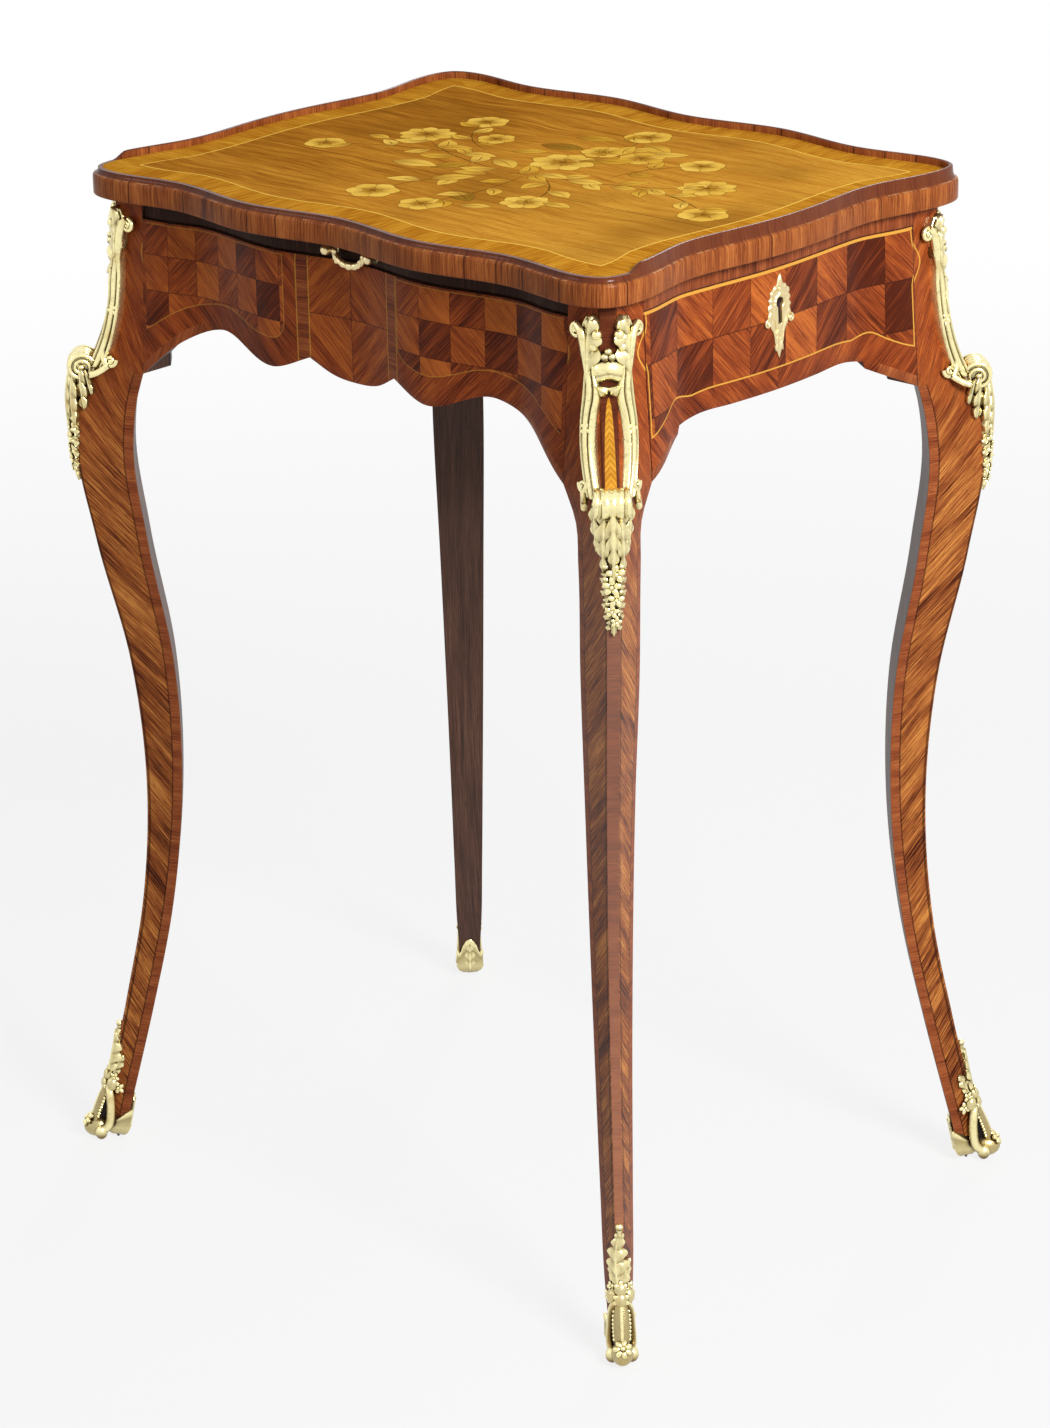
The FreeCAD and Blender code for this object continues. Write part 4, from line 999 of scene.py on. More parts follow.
@dataclass(frozen=True)
class Leather:
    """Writing surface: worn brown leather with a gilt tooled line near its edge."""

    dark: Colour = srgb(86, 52, 36)
    wear_and_glint: Colour = srgb(124, 86, 62)
    gilt: Colour = srgb(200, 160, 80)
    middle: float = -20.0
    line: Spot = (141.0, 83.0)

    def finish(self) -> Finish:
        """The material."""
        bench = Bench("leather")
        x, y, _ = bench.spot()
        spots = bench.noise(bench.vector(x, y, 0.0), 0.6, 3.0)
        wear = bench.noise(bench.vector(x, y, 5.0), 0.012, 3.0)
        colour = bench.mix(self.dark, self.wear_and_glint, wear.ease(0.35, 0.75))
        far_x, far_y = abs(x) - self.line[0], abs(y - self.middle) - self.line[1]
        within = (far_x < 0.6) * (far_y < 0.6)
        colour = bench.mix(colour, self.gilt, far_x.line(0.5).high(far_y.line(0.5)) * within)
        return bench.surface({"Base Color": colour, "Roughness": spots * 0.2 + 0.45,
                              "Normal": bench.bump(spots, 0.15, 0.0004)})


# ---- the leg and its mounts


@dataclass
class CabrioleLeg:
    """Cabriole leg with its post: the surface that the leg, corner mount and foot mount share.

    Attributes:
        leg_x, leg_y: outer faces of the posts in plan.
        post_face: width of a post's face.
        post_depth: depth of a post.
        arris: half width of the arris at the ankle and at the post.
        foot: height of the post's foot.
        top: underside of the table top.
        shaft: (height, reach of the arris, depth, half width) up the shaft.
        post: (height, reach of the arris, turn of the faces in degrees) up the post.
        sole: height at which the wood begins, inside the foot mount.
    """

    leg_x: float = 210.5
    leg_y: float = 157.0
    post_face: float = 30.5
    post_depth: float = 18.0
    arris: Spot = (2.4, 4.5)
    foot: float = 550.5
    top: float = 663.5
    shaft: tuple = ((3.0, 37.6, 10.6, 6.4), (24.0, 36.4, 14.0, 7.7), (45.0, 34.2, 17.2, 9.0),
                    (100.0, 22.2, 19.2, 10.3), (175.0, 6.9, 20.6, 11.7), (262.0, 0.1, 24.0, 13.5),
                    (349.5, 6.5, 29.2, 15.5), (434.5, 24.6, 34.4, 17.8), (504.5, 33.8, 37.6, 18.5),
                    (530.5, 30.7, 38.0, 19.6))
    post: tuple = ((550.5, 22.9, 14.0), (574.5, 13.4, 8.0), (600.5, 5.6, 2.0), (663.5, 0.0, 0.0))
    sole: float = 10.0

    @property
    def diagonal(self) -> float:
        """X at which the leg's diagonal crosses the middle of the table."""
        return self.leg_x - self.leg_y

    @property
    def arris_top(self) -> float:
        """Distance out along the diagonal of the arris at the top."""
        return self.leg_y * ROOT2 - self.arris[1]

    def place(self, u: Array, v: Array, z: Array) -> Array:
        """Point at u out along the diagonal, v across it towards the drawer side."""
        u, v, z = alike(u, v, z)
        return np.stack([self.diagonal + (u + v) / ROOT2, (v - u) / ROOT2, z], -1)

    @property
    def across(self) -> Array:
        """Unit vector across the diagonal."""
        return self.place(0, 1, 0) - self.place(0, 0, 0)

    def reach(self, z: Array) -> Array:
        """Distance out of the arris at a height."""
        return self.arris_top + through(z, [row[:2] for row in self.shaft + self.post])

    def face_end(self, z: Array) -> tuple[Array, Array]:
        """Where a post's face, turned about its arris, meets the apron, as (u, v)."""
        out, half = self.reach(z), self.arris[1]
        x = self.diagonal + (out - half) / ROOT2
        joint = self.leg_x - self.post_face
        y = (out + half) / ROOT2 - (x - joint) * np.tan(np.radians(through(z, [(r[0], r[2]) for r in self.post])))
        return (joint - self.diagonal + y) / ROOT2, (y - joint + self.diagonal) / ROOT2

    def joint_out(self, z: Array) -> Array:
        """How far the leg face stands out from its top at the apron joint."""
        u, v = self.face_end(z)
        return (u + v) / ROOT2 - self.leg_y

    def section(self, z: Array) -> tuple[Array, Array, Array, Array]:
        """Arris distance, arris half width, and the end of the face as (u, v), at heights."""
        z = np.asarray(z, float)
        out = self.reach(z)
        low, high = self.arris
        start = self.shaft[0][0]
        half = low + (high - low) * np.clip((z - start) / (self.foot - start), 0, 1)
        u0, v0 = self.face_end(np.array(self.foot))
        depth = [(r[0], r[2]) for r in self.shaft] + [(self.foot, self.reach(np.array(self.foot)) - u0)]
        width = [(r[0], r[3]) for r in self.shaft] + [(self.foot, float(v0))]
        u_post, v_post = self.face_end(np.maximum(z, self.foot))
        above = z > self.foot
        u_end = np.where(above, u_post, out - through(np.minimum(z, self.foot), depth))
        return out, half, u_end, np.where(above, v_post, through(np.minimum(z, self.foot), width))

    def relief(self, v: Array, z: Array, lift: Array) -> Array:
        """Point lifted square from the outer faces, with the arris softened so that mounts wrap round it."""
        v, z, lift = alike(v, z, lift)
        out, half, u_end, v_end = self.section(z)
        slope = (out - u_end) / (v_end - half)
        past = np.abs(v) - half
        soft = np.sqrt(past ** 2 + 4.0)
        u = out - 0.5 * (past + soft) * slope
        tilt = np.sign(v) * slope * 0.5 * (1 + past / soft)
        lean = -(self.reach(z + 1.0) - self.reach(z - 1.0)) / 2.0
        size = np.sqrt(1 + tilt ** 2 + lean ** 2)
        return self.place(u + lift / size, v + lift * tilt / size, z + lift * lean / size)

    def rings(self, z: Array, post: bool, grow: Array = 0.0) -> tuple[Array, Array]:
        """Rings of the leg: arris, face, inner side, and back by the mirror image.

        Args:
            z: heights.
            post: whether the inner side is the post's cut corner.
            grow: how far the section is opened out.

        Returns:
            Points and UV pairs: (signed distance from the arris, height), (distance from the inner edge, run).
        """
        z = np.asarray(z, float)
        out, half, u_end, v_end = (part[:, None] for part in self.section(z))
        grow = np.broadcast_to(grow, z.shape)[:, None]
        slope = (v_end - half) / (out - u_end)
        bulge = grow * np.sqrt(1 + slope ** 2)
        out, u_end = out + grow, u_end - (0 if post else grow)
        half, v_end = half + bulge - slope * grow, v_end + bulge + slope * grow
        f = np.linspace(0, 1, 11)[None, :]
        q = np.linspace(0, 1, 7)[None, 1:]
        inner_u = (self.leg_x - self.post_face - self.diagonal + self.leg_y - self.post_depth) / ROOT2
        inner_v = (self.leg_y - self.post_depth - self.leg_x + self.post_face + self.diagonal) / ROOT2
        face_u, face_v = out + (u_end - out) * f, half + (v_end - half) * f
        back = (q - 0.5).clip(0) * 2
        near = (q * 2).clip(0, 1)
        back_u = u_end + (inner_u - u_end) * near if post else u_end + 0 * q
        back_v = (v_end + (inner_v - v_end) * near) * (1 - back) if post else v_end * (1 - q)
        u = np.concatenate([out, face_u, back_u], 1)
        v = np.concatenate([0 * out, face_v, back_v], 1)
        wide = np.hypot(u_end - out, v_end - half)
        across = np.concatenate([0 * out, half + wide * f, half + wide + 0 * q], 1)
        inner = np.concatenate([wide, wide * (1 - f), 0 * wide * q], 1)
        size = u.shape[1]
        mirror = np.arange(size - 2, 0, -1)
        order = np.concatenate([np.arange(size), mirror])
        sign = np.concatenate([np.ones(size), -np.ones(size - 2)])
        grid = self.place(u[:, order], v[:, order] * sign, z[:, None])
        run = np.where(sign > 0, np.abs(grid[..., 1]), grid[..., 0])
        uv = np.stack([across[:, order] * sign, z[:, None] + 0 * run, inner[:, order], run], -1)
        return grid, np.concatenate([uv, uv[:, :1]], 1)

    def build(self, side: Side, finishes: Sequence[Finish]) -> Piece:
        """Leg with its post: faces, arris strip and inner side in three finishes.

        Args:
            side: corner.
            finishes: faces, arris strip, inner side.

        Returns:
            The leg.
        """
        lower, uv_lower = self.rings(np.linspace(self.sole, self.foot, 76), False)
        upper, uv_upper = self.rings(np.linspace(self.foot, self.top, 30), True)
        cols = lower.shape[1]
        finish = np.full(cols, 2)
        finish[1:11] = finish[-11:-1] = 0
        finish[0] = finish[-1] = 1
        grid = np.concatenate([lower, upper])
        shape = Shape().shell(grid, np.concatenate([uv_lower, uv_upper]), finish)
        piece = shape.make("leg_" + side.tag + "_veneered", finishes, side, 30.0)
        bevel = piece.modifiers.new("worn_edges", "BEVEL")
        bevel.width, bevel.segments, bevel.harden_normals = 0.4 * MM, 2, True
        bevel.limit_method, bevel.angle_limit = "ANGLE", math.radians(30)
        return piece


@dataclass
class CornerMount:
    """Openwork gilt mount on the post and knee: rails, crown, scroll, hanging leaves and flower drop.

    Attributes:
        leg: leg that it sits on.
        inner, outer: (height over the post's foot, distance from the arris) of the rails' edges.
        scroll: reach beyond the arris, height and radius of the knee's scroll.
        slim: scale across the leg of the mount and, over that, of its drop.
    """

    leg: CabrioleLeg
    inner: Knots = ((0.0, 5.4), (12.0, 6.8), (24.0, 7.6), (36.0, 7.5), (48.0, 6.3), (56.0, 4.8), (62.0, 4.6),
                    (72.0, 6.0), (84.0, 6.2), (94.0, 5.4), (104.0, 6.2))
    outer: Knots = ((0.0, 12.8), (10.0, 14.2), (38.0, 15.4), (60.0, 13.8), (78.0, 12.6), (90.0, 14.4), (98.0, 15.0),
                    (104.0, 12.0))
    scroll: Three = (27.6, 0.5, 10.5)
    slim: Spot = (0.86, 0.84)

    def place(self, v: Array, h: Array, lift: Array) -> Array:
        """Point at v across and h above the post's foot, lifted from the leg."""
        return self.leg.relief(self.slim[0] * np.asarray(v, float), self.leg.foot + np.asarray(h, float), lift)

    def hang(self, v: Array, h: Array, lift: Array) -> Array:
        """Point of the drop, which is slimmer than the rest."""
        return self.place(self.slim[1] * np.asarray(v, float), h, lift)

    def rails(self, shape: Shape) -> None:
        """Moulded rails: a band each side from scroll to crown, with two grooves that leave a rib at each edge."""
        h = np.linspace(0.5, 104.0, 70)[:, None]
        w = np.linspace(0.0, 1.0, 25)[None, :]
        groove = np.exp(-((np.abs(w - 0.5) - 0.22) / 0.075) ** 2)
        tall = through(h, [(0, 5.2), (30, 6.8), (60, 6.2), (84, 5.4), (104, 3.8)])
        lift = tall * np.sqrt(np.clip(1 - (2 * w - 1) ** 6, 0, 1)) * (1 - 0.3 * groove)
        # Painted shade in the grooves, painted highlight on the ribs.
        uv = toned(70, 50, np.clip(1.0 - 0.85 * groove, 0, 1), 25)
        inner, outer = through(h, self.inner), through(h, self.outer)
        for s in HANDS:
            v = s * (inner + (outer - inner) * w)
            shape.shell(pillow(self.place(v, h, lift), self.place(v, h, -0.5 + 0 * lift)), uv)

    def crown(self, shape: Shape) -> None:
        """Crown: an arched saddle under a trefoil, leaves and inward lobes on the rails, and volutes that turn out."""
        v = np.linspace(-10.0, 10.0, 33)[:, None]
        t = np.linspace(0, 1, 17)[None, :]
        bend = np.cos(np.pi * v / 22)
        low = 62.8 + 4.6 * bend ** 2
        h = low + (78.0 + 2.4 * bend - low) * t
        swell = np.sin(np.pi * (0.03 + 0.94 * t)) ** 0.5
        crease = np.exp(-((t - 0.34) / 0.07) ** 2)
        # Painted highlight on the saddle's swell, painted shade in its crease.
        uv = toned(33, 34, np.clip(1.2 * swell - 0.7 * crease - 0.15, 0, 1), 17)
        lift = (3.6 + 2.6 * bend) * swell - 0.9 * crease
        shape.shell(pillow(self.place(v, h, lift), self.place(v, h, -0.5 + 0 * lift)), uv)
        t = np.linspace(0, 1, 24)
        for s in HANDS:
            v = s * through(t, [(0, 10.6), (0.4, 11.4), (0.7, 13.6), (1, 17.0)])
            h = through(t, [(0, 62), (0.4, 83), (0.7, 94), (1, 98.8)])
            cord(shape, self.place, v, h, 3.8 + 0.4 * t, through(t, [(0, 0.8), (0.4, 3.2), (0.7, 3.0), (1, 2.0)]))
            volute(shape, self.place, (s * 17.2, 94.8), 4.1, 3.0, -s, 95.0, 1.4, 0.9)
            leaf(shape, self.place, (s * 9.0, 72.0), (s * 7.2, 105.2), 6.0, 6.0, -s * 1.0, 3, 1.4)
            for v, h, lift, size in ((5.4, 94.4, 3.6, 3.2), (7.0, 101.0, 3.4, 3.2), (7.2, 87.0, 3.2, 3.0)):
                pearl(shape, self.place([s * v], [h], [lift])[0], size, 0.8)
            leaf(shape, self.place, (s * 7.0, 65.0), (s * 0.5, 59.2), 3.4, 5.0, 0.0, 1, 0.4)
            pearl(shape, self.place([s * 2.0], [81.4], [3.6])[0], 2.5)
            blossom(shape, self.place, (s * 11.4, 38.0), 4.4, 5.2, 5, 0.4)
            leaf(shape, self.place, (s * 11.2, 36.0), (s * 10.8, 26.0), 1.8, 4.2, 0.0, 2, 0.4)
            leaf(shape, self.place, (s * 11.2, 40.0), (s * 10.4, 50.0), 1.8, 4.2, 0.0, 2, 0.4)
        pearl(shape, self.place([0.0], [84.6], [3.6])[0], 2.4)

    def knee(self, shape: Shape) -> None:
        """Scroll at the knee: a reel with raised rims, flutes over its front, a spiral and eye on each end, curls."""
        reach, up, size = self.scroll
        across = self.leg.across
        out, level = self.leg.arris_top + reach, self.leg.foot + up
        half = [(0.0, 9.4), (0.55, 9.4), (0.78, 8.9), (0.86, 7.7), (0.78, 6.4), (0.74, 0.0)]
        profile = [(size * r, -v) for r, v in half] + [(size * r, v) for r, v in half[-2::-1]]
        # The reel's even tone 0.55 dims it as painted shade.
        shape.shell(turned(profile, self.leg.place(out, 0, level), across, 28), toned(11, 28, 0.55))
        t = np.linspace(0, 1, 36)
        angle = np.radians(158.0 - 215.0 * t)
        radius = 0.8 * size
        # Painted highlight and shade round each flute's section.
        flute = toned(36, 10, np.clip(0.35 + 0.8 * np.abs(np.sin(np.linspace(0, 2 * np.pi, 11))), 0, 1))
        for v in (-4.6, 0.0, 4.6):
            path = self.leg.place(out + radius * np.cos(angle), v * (1 - 0.2 * t), level + radius * np.sin(angle))
            shape.shell(tube(path, 2.7, 1.3, across, 10), flute)
        angle = np.radians(150.0 - 640.0 * t)
        radius = size * (0.84 - 0.60 * t)
        for s in HANDS:
            path = self.leg.place(out + radius * np.cos(angle), s * (8.9 + 1.0 * t), level + radius * np.sin(angle))
            shape.shell(tube(path, 1.7, 1.6 - 0.4 * t, across, 10))
            pearl(shape, self.leg.place(out, s * 9.6, level), 2.4)
            volute(shape, self.place, (s * 15.2, 5.4), 3.8, 2.4, -s, 20 if s > 0 else 160, 1.4, 0.75)
            h = np.linspace(14.0, 1.5, 16)
            cord(shape, self.place, s * (10.6 + 4.0 * ((14.0 - h) / 12.5) ** 2), h, 3.2 + 0 * h, 2.3)
            cord(shape, self.place, s * (9.4 + 5.4 * t), -4.6 + 6.8 * t ** 1.6, 9.0 - 5.8 * t, 2.2)

    def drop(self, shape: Shape) -> None:
        """Narrow leaves that hang from the scroll, and a drop of blossoms, buds and leaves on a tongue."""
        leaf(shape, self.hang, (0.0, 1.0), (0.0, -42.0), 3.2, 5.8, 0.0, 5, 0.8, 7.5)
        for s in HANDS:
            for root, tip, half, lift, lobes, stand in (((2.8, 0.5), (5.0, -39.0), 2.7, 4.4, 4, 7.0),
                                                        ((5.8, 0.0), (8.8, -28.0), 2.5, 3.8, 3, 6.5),
                                                        ((7.8, -2.0), (11.0, -18.0), 1.9, 3.2, 2, 5.0)):
                leaf(shape, self.hang, (s * root[0], root[1]), (s * tip[0], tip[1]), half, lift, 0.0, lobes, 1.2,
                     stand)
        t = np.linspace(0, 1, 24)[:, None]
        q = np.linspace(-1, 1, 9)[None, :]
        v = q * through(t, [(0, 6.2), (0.25, 7.0), (0.5, 6.2), (0.8, 4.2), (1, 1.0)])
        h = -33.0 - 43.0 * t + 0 * q
        top = self.hang(v, h, 3.2 * np.sqrt(np.clip(1 - q ** 4, 0, 1)) + 0 * h)
        # The tongue's low tone 0.4 is painted shade behind the flowers.
        shape.shell(pillow(top, self.hang(v, h, -0.4 + 0 * h)), toned(24, 18, 0.4))
        for n, (h, size) in enumerate(((-39.0, 5.6), (-46.5, 5.4), (-54.0, 4.9), (-61.0, 4.2), (-67.5, 3.4))):
            for s in HANDS:
                root, tip = (s * 0.4 * size, h + 2.0), (s * 1.05 * size, h - 6.5)
                leaf(shape, self.hang, root, tip, size * 0.5, 3.8, 0.0, 2, 0.8)
                pearl(shape, self.hang([s * 0.72 * size], [h + 3.8], [3.0])[0], size * 0.44)
            blossom(shape, self.hang, (0.7 * (-1) ** n, h), size * 1.06, 4.4, 5, n * 1.3)
        leaf(shape, self.hang, (0.0, -67.0), (0.0, -77.0), 2.4, 3.0, 0.0, 2, 0.4)

    def build(self, side: Side, gilt: Finish) -> Piece:
        """The whole mount at one corner."""
        shape = Shape()
        for part in (self.rails, self.crown, self.knee, self.drop):
            part(shape)
        return shape.make("corner_mount_" + side.tag, [gilt], side, 55.0)


@dataclass
class FootMount:
    """Gilt foot mount: cup with a heel leaf, shield and looped limbs before the leg, leaf and flowers, ball toe.

    Attributes:
        leg: leg that it sits on.
        cup: height of the cup at the arris, at the inner edges, beside the heel's tongue and at its middle.
        toe: reach beyond the arris and height of the toe.
    """

    leg: CabrioleLeg
    cup: Four = (15.0, 23.0, 18.0, 32.0)
    toe: Spot = (49.5, 11.5)

    def heel(self, v: Array, z: Array, lift: Array) -> Array:
        """Point lifted from the leg's inner face."""
        v, z, lift = alike(v, z, lift)
        return self.leg.place(self.leg.section(z)[2] - lift, v, z)

    def shoe(self, shape: Shape) -> None:
        """Cup round the leg's end: rings opened out from the leg over a rounded sole; its rim climbs to a tongue."""
        foot = np.array([0.0, 0.7, 2.0, 4.5, 8.5, 8.5, 8.5, 8.5, 8.5, 8.5])[:, None]
        f = np.array([0.0, 0.0, 0.0, 0.0, 0.0, 0.3, 0.6, 0.85, 0.95, 1.0])[:, None]
        grow = np.array([-6.0, -3.4, -1.0, 1.0, 2.2, 1.9, 1.6, 1.9, 1.6, 0.6])[:, None, None]
        steps = np.arange(3.0, 38.0)
        tight, _ = self.leg.rings(steps, False)
        wide, _ = self.leg.rings(steps, False, 1.0)
        cols = tight.shape[1]
        n = np.minimum(np.arange(cols), cols - np.arange(cols))
        arris, edge, dip, heel = self.cup
        tongue = np.sqrt(np.clip(1 - ((17 - n) / 4.2) ** 2, 0, 1))
        top = np.interp(n, (0, 5, 11, 13), (arris, arris, edge, dip)) + (heel - dip) * tongue
        z = foot + f * (top[None, :] - foot)
        k = np.clip(z - 3.0, 0, len(steps) - 1.001)
        i, j = k.astype(int), np.arange(cols)[None, :]
        k = (k - i)[..., None]
        base = tight[i, j] * (1 - k) + tight[i + 1, j] * k
        rings = base + grow * (wide[i, j] * (1 - k) + wide[i + 1, j] * k - base)
        rings[..., 2] = z
        # Painted shade low on the cup towards the sole, painted highlight on its rim.
        tone = np.array([0.05, 0.1, 0.25, 0.4, 0.5, 0.4, 0.3, 0.7, 1.0, 0.3])[:, None]
        shape.shell(rings, toned(len(tone), cols, tone))

    def loops(self, shape: Shape) -> None:
        """Shield on a curve from the flowers to the toe, and a limb each side on the leg; dark gaps stay between."""
        across = self.leg.across
        base = self.leg.arris_top
        t = np.linspace(0, 1, 26)
        u = base + through(t, [(0, 36.2), (0.3, 41.0), (0.65, 45.0), (1, 48.0)])
        z = through(t, [(0, 41.0), (0.3, 31.0), (0.65, 21.0), (1, 11.0)])
        half = through(t, [(0, 3.4), (0.3, 4.8), (0.7, 4.8), (1, 4.2)])
        # The shield's low tone 0.3 is painted shade; the limbs' shade tones paint highlight and shade round their
        # section.
        shape.shell(tube(self.leg.place(u, 0 * u, z), half, 2.9, across, 14), toned(26, 14, 0.3))
        shape.shell(tube(self.leg.place(u + 2.6, 0 * u, z), 1.2, 1.1, across, 8))
        shade = toned(26, 12, 0.45 + 0.45 * np.cos(np.linspace(0, 4 * np.pi, 13)))
        for s in HANDS:
            for bead in self.leg.place(u - 1.4, s * (half - 0.2), z)[6:22:2]:
                pearl(shape, bead, 1.4, 1.0, 6, 8)
            v = s * through(t, [(0, 2.0), (0.2, 5.4), (0.5, 6.8), (0.75, 7.2), (1, 5.4)])
            u2 = base + through(t, [(0, 37.0), (0.2, 36.2), (0.5, 36.0), (0.75, 38.0), (1, 45.0)])
            z2 = through(t, [(0, 40.0), (0.2, 34.0), (0.5, 22.0), (0.75, 11.0), (1, 5.8)])
            shape.shell(tube(self.leg.place(u2, v, z2), 2.3, 3.1, across, 12), shade)
            pearl(shape, self.leg.place(base + 43.5, s * 6.0, 5.4), (4.4, 4.4, 5.2), None, 9, 12)
        for u, v, z in ((38.0, 0.0, 40.0), (36.0, 0.0, 46.0), (34.0, 4.4, 41.0), (34.0, -4.4, 41.0)):
            pearl(shape, self.leg.place(base + u, v, z), (4.4, 4.4, 5.4), 0.5)
        # The web is painted shade: a dark sheet in the ring's opening, in the second finish.
        core = np.array([(35.0, 5.0), (46.0, 5.0), (45.5, 20.0), (40.5, 31.0), (35.0, 34.0)])
        web = np.stack([self.leg.place(base + core[:, 0], v, core[:, 1]) for v in (-1.5, 1.5)])
        shape.shell(web, None, 1)

    def ball(self, shape: Shape) -> None:
        """Toe: a rounded mass that reaches back to the cup, with a flower of seven petals on its front."""
        reach, up = self.toe
        base = self.leg.arris_top
        ahead = self.leg.place(1, 0, 0) - self.leg.place(0, 0, 0)
        across = self.leg.across
        centre = self.leg.place(base + reach, 0, up)
        mass = self.leg.place(base + reach - 3.4, 0, 7.5)
        # The mass's low tone 0.35 is painted shade under the flower.
        shape.shell(boss(mass, np.array([across * 7.0, UP * 7.3, ahead * 9.4]), 11, 16), toned(11, 16, 0.35))
        tilt = (ahead + UP * 0.8) / math.hypot(1.0, 0.8)
        lean = np.cross(across, tilt)
        for n in range(7):
            angle = 2 * math.pi * n / 7 + 0.2
            ray = math.cos(angle) * lean + math.sin(angle) * across
            side = np.cross(tilt, ray)
            spot = centre + ray * 3.7 + tilt * 3.2
            shape.shell(boss(spot, np.array([ray * 2.6, side * 1.9, tilt * 2.0 - ray * 0.8])), dome())
        pearl(shape, centre + tilt * 4.8, 1.8)

    def build(self, side: Side, finishes: Sequence[Finish]) -> Piece:
        """The whole mount at one foot.

        Args:
            side: corner.
            finishes: gilt, and the dark wood in its ring.

        Returns:
            The mount.
        """
        shape = Shape()
        self.shoe(shape)
        self.loops(shape)
        self.ball(shape)
        place = self.leg.relief
        for s in HANDS:
            leaf(shape, place, (s * 1.8, 45.0), (s * 4.2, 63.0), 2.0, 2.8, 0.0, 3, 0.8)
            blossom(shape, place, (s * 4.4, 39.0), 4.6, 3.0, 5, 0.3)
            blossom(shape, place, (s * 3.0, 46.0), 4.0, 3.2, 5, 0.8)
        leaf(shape, place, (0.0, 46.0), (0.0, 79.0), 3.6, 4.4, 1.0, 4, 1.4)
        leaf(shape, place, (0.0, 70.0), (0.0, 85.0), 1.8, 3.2, 0.0, 3, 0.4)
        pearl(shape, place([0.0], [84.0], [2.2])[0], 2.5)
        blossom(shape, place, (0.0, 40.0), 5.6, 5.0, 6)
        blossom(shape, place, (0.0, 48.0), 4.4, 4.6, 5)
        leaf(shape, self.heel, (0.0, 5.0), (0.0, 28.0), 4.0, 2.6, 0.0, 3, 0.6)
        return shape.make("foot_mount_" + side.tag, finishes, side, 55.0)


# ---- aprons and drawer front


@dataclass
class Apron:
    """Serpentine apron with a shaped lower edge.

    Attributes:
        leg: legs that it runs between.
        span: half length.
        reach: leg face that it stands behind or before.
        depth: thickness from the leg face inwards.
        plan: mean, rise and wave of the cosine serpentine.
        lower: (distance from the middle, height over the post's foot) of the lower edge, in runs between cusps.
        front: True where it runs along X.
        flare: length over which the face turns to the leg.
        chamfer: rise of the underside towards the back.
    """

    leg: CabrioleLeg
    span: float
    reach: float
    depth: float
    plan: Three
    lower: tuple[Knots, ...]
    front: bool
    flare: float = 48.0
    chamfer: float = 9.0

    def out(self, a: Array, z: Array, back: float = 0.0) -> Array:
        """Reach of the face: mean + rise cos(2 pi a / wave), flaring smoothly to the leg faces."""
        mean, rise, wave = self.plan
        swell = mean + rise * np.cos(2 * np.pi * a / wave)
        blend = ease((np.abs(a) - self.span + self.flare) / self.flare)
        joint = self.leg.joint_out(np.clip(z, self.leg.foot, self.leg.top))
        return self.reach - back + swell + blend * (joint - swell)

    def edge(self, a: Array) -> Array:
        """Height of the lower edge: smooth runs that meet in cusps."""
        far = np.abs(a)
        z = np.zeros_like(far)
        for run in self.lower:
            knots = [(-x, y) for x, y in run[:0:-1]] + list(run) if run[0][0] == 0 else list(run)
            inside = (far >= run[0][0]) & (far <= run[-1][0] + 1e-6)
            z = np.where(inside, through(far, knots), z)
        return self.leg.foot + z

    def at(self, a: Array, o: Array, z: Array) -> Array:
        """Point by distance along, distance out and height."""
        a, o, z = alike(a, o, z)
        return np.stack([a, -o, z] if self.front else [o, a, z], -1)

    def shape(self, top: float, span: float, bottom: Union[float, None] = None, back: float = 0.0) -> Shape:
        """Upright rings along the apron: outer face from lower edge to top, then the square back.

        Args:
            top: height of its upper edge.
            span: half length of the piece.
            bottom: height of a straight lower edge, or None for the shaped one.
            back: how far the face is set back.

        Returns:
            The shape, with the face as finish 0 and the rest as finish 1.
        """
        cusps = [x for run in self.lower for x in (run[0][0], run[-1][0]) if x < span]
        a = np.concatenate([np.linspace(-span, span, 221), cusps, [-x for x in cusps]])
        a = np.unique(np.round(a, 4))[:, None]
        foot = self.edge(a) if bottom is None else bottom + 0 * a
        f = np.concatenate([[0.0, 0.004], np.linspace(0, 1, 17)[1:]])[None, :]
        z = foot + (top - foot) * f
        ease_in = 0.5 * (np.exp(-(z - foot) / 0.5) + np.exp(-(top - z) / 0.5))
        face = self.at(a, self.out(a, z, back) - ease_in, z)
        inner = self.reach - self.depth
        slope = np.minimum(self.chamfer, top - foot - 1.0) if bottom is None else 0.0
        rear = np.concatenate([self.at(a, inner, top), self.at(a, inner, foot + slope)], 1)
        grid = np.concatenate([face, rear], 1)
        cols, rise = grid.shape[1], f.shape[1]
        uv = np.ones((len(a), cols + 1, 4))
        uv[:, :rise, 0], uv[:, :rise, 1], uv[:, :rise, 2] = a, z, z - foot
        near = a[..., None] + np.linspace(-14.0, 14.0, 9)
        uv[:, :rise, 3] = z - self.edge(np.clip(near, -self.span, self.span)).mean(-1)
        uv[:, rise:, 0], uv[:, rise:, 1] = a, foot
        finish = np.ones(cols, int)
        finish[:rise - 1] = 0
        return Shape().shell(grid, uv, finish)


# ---- table top


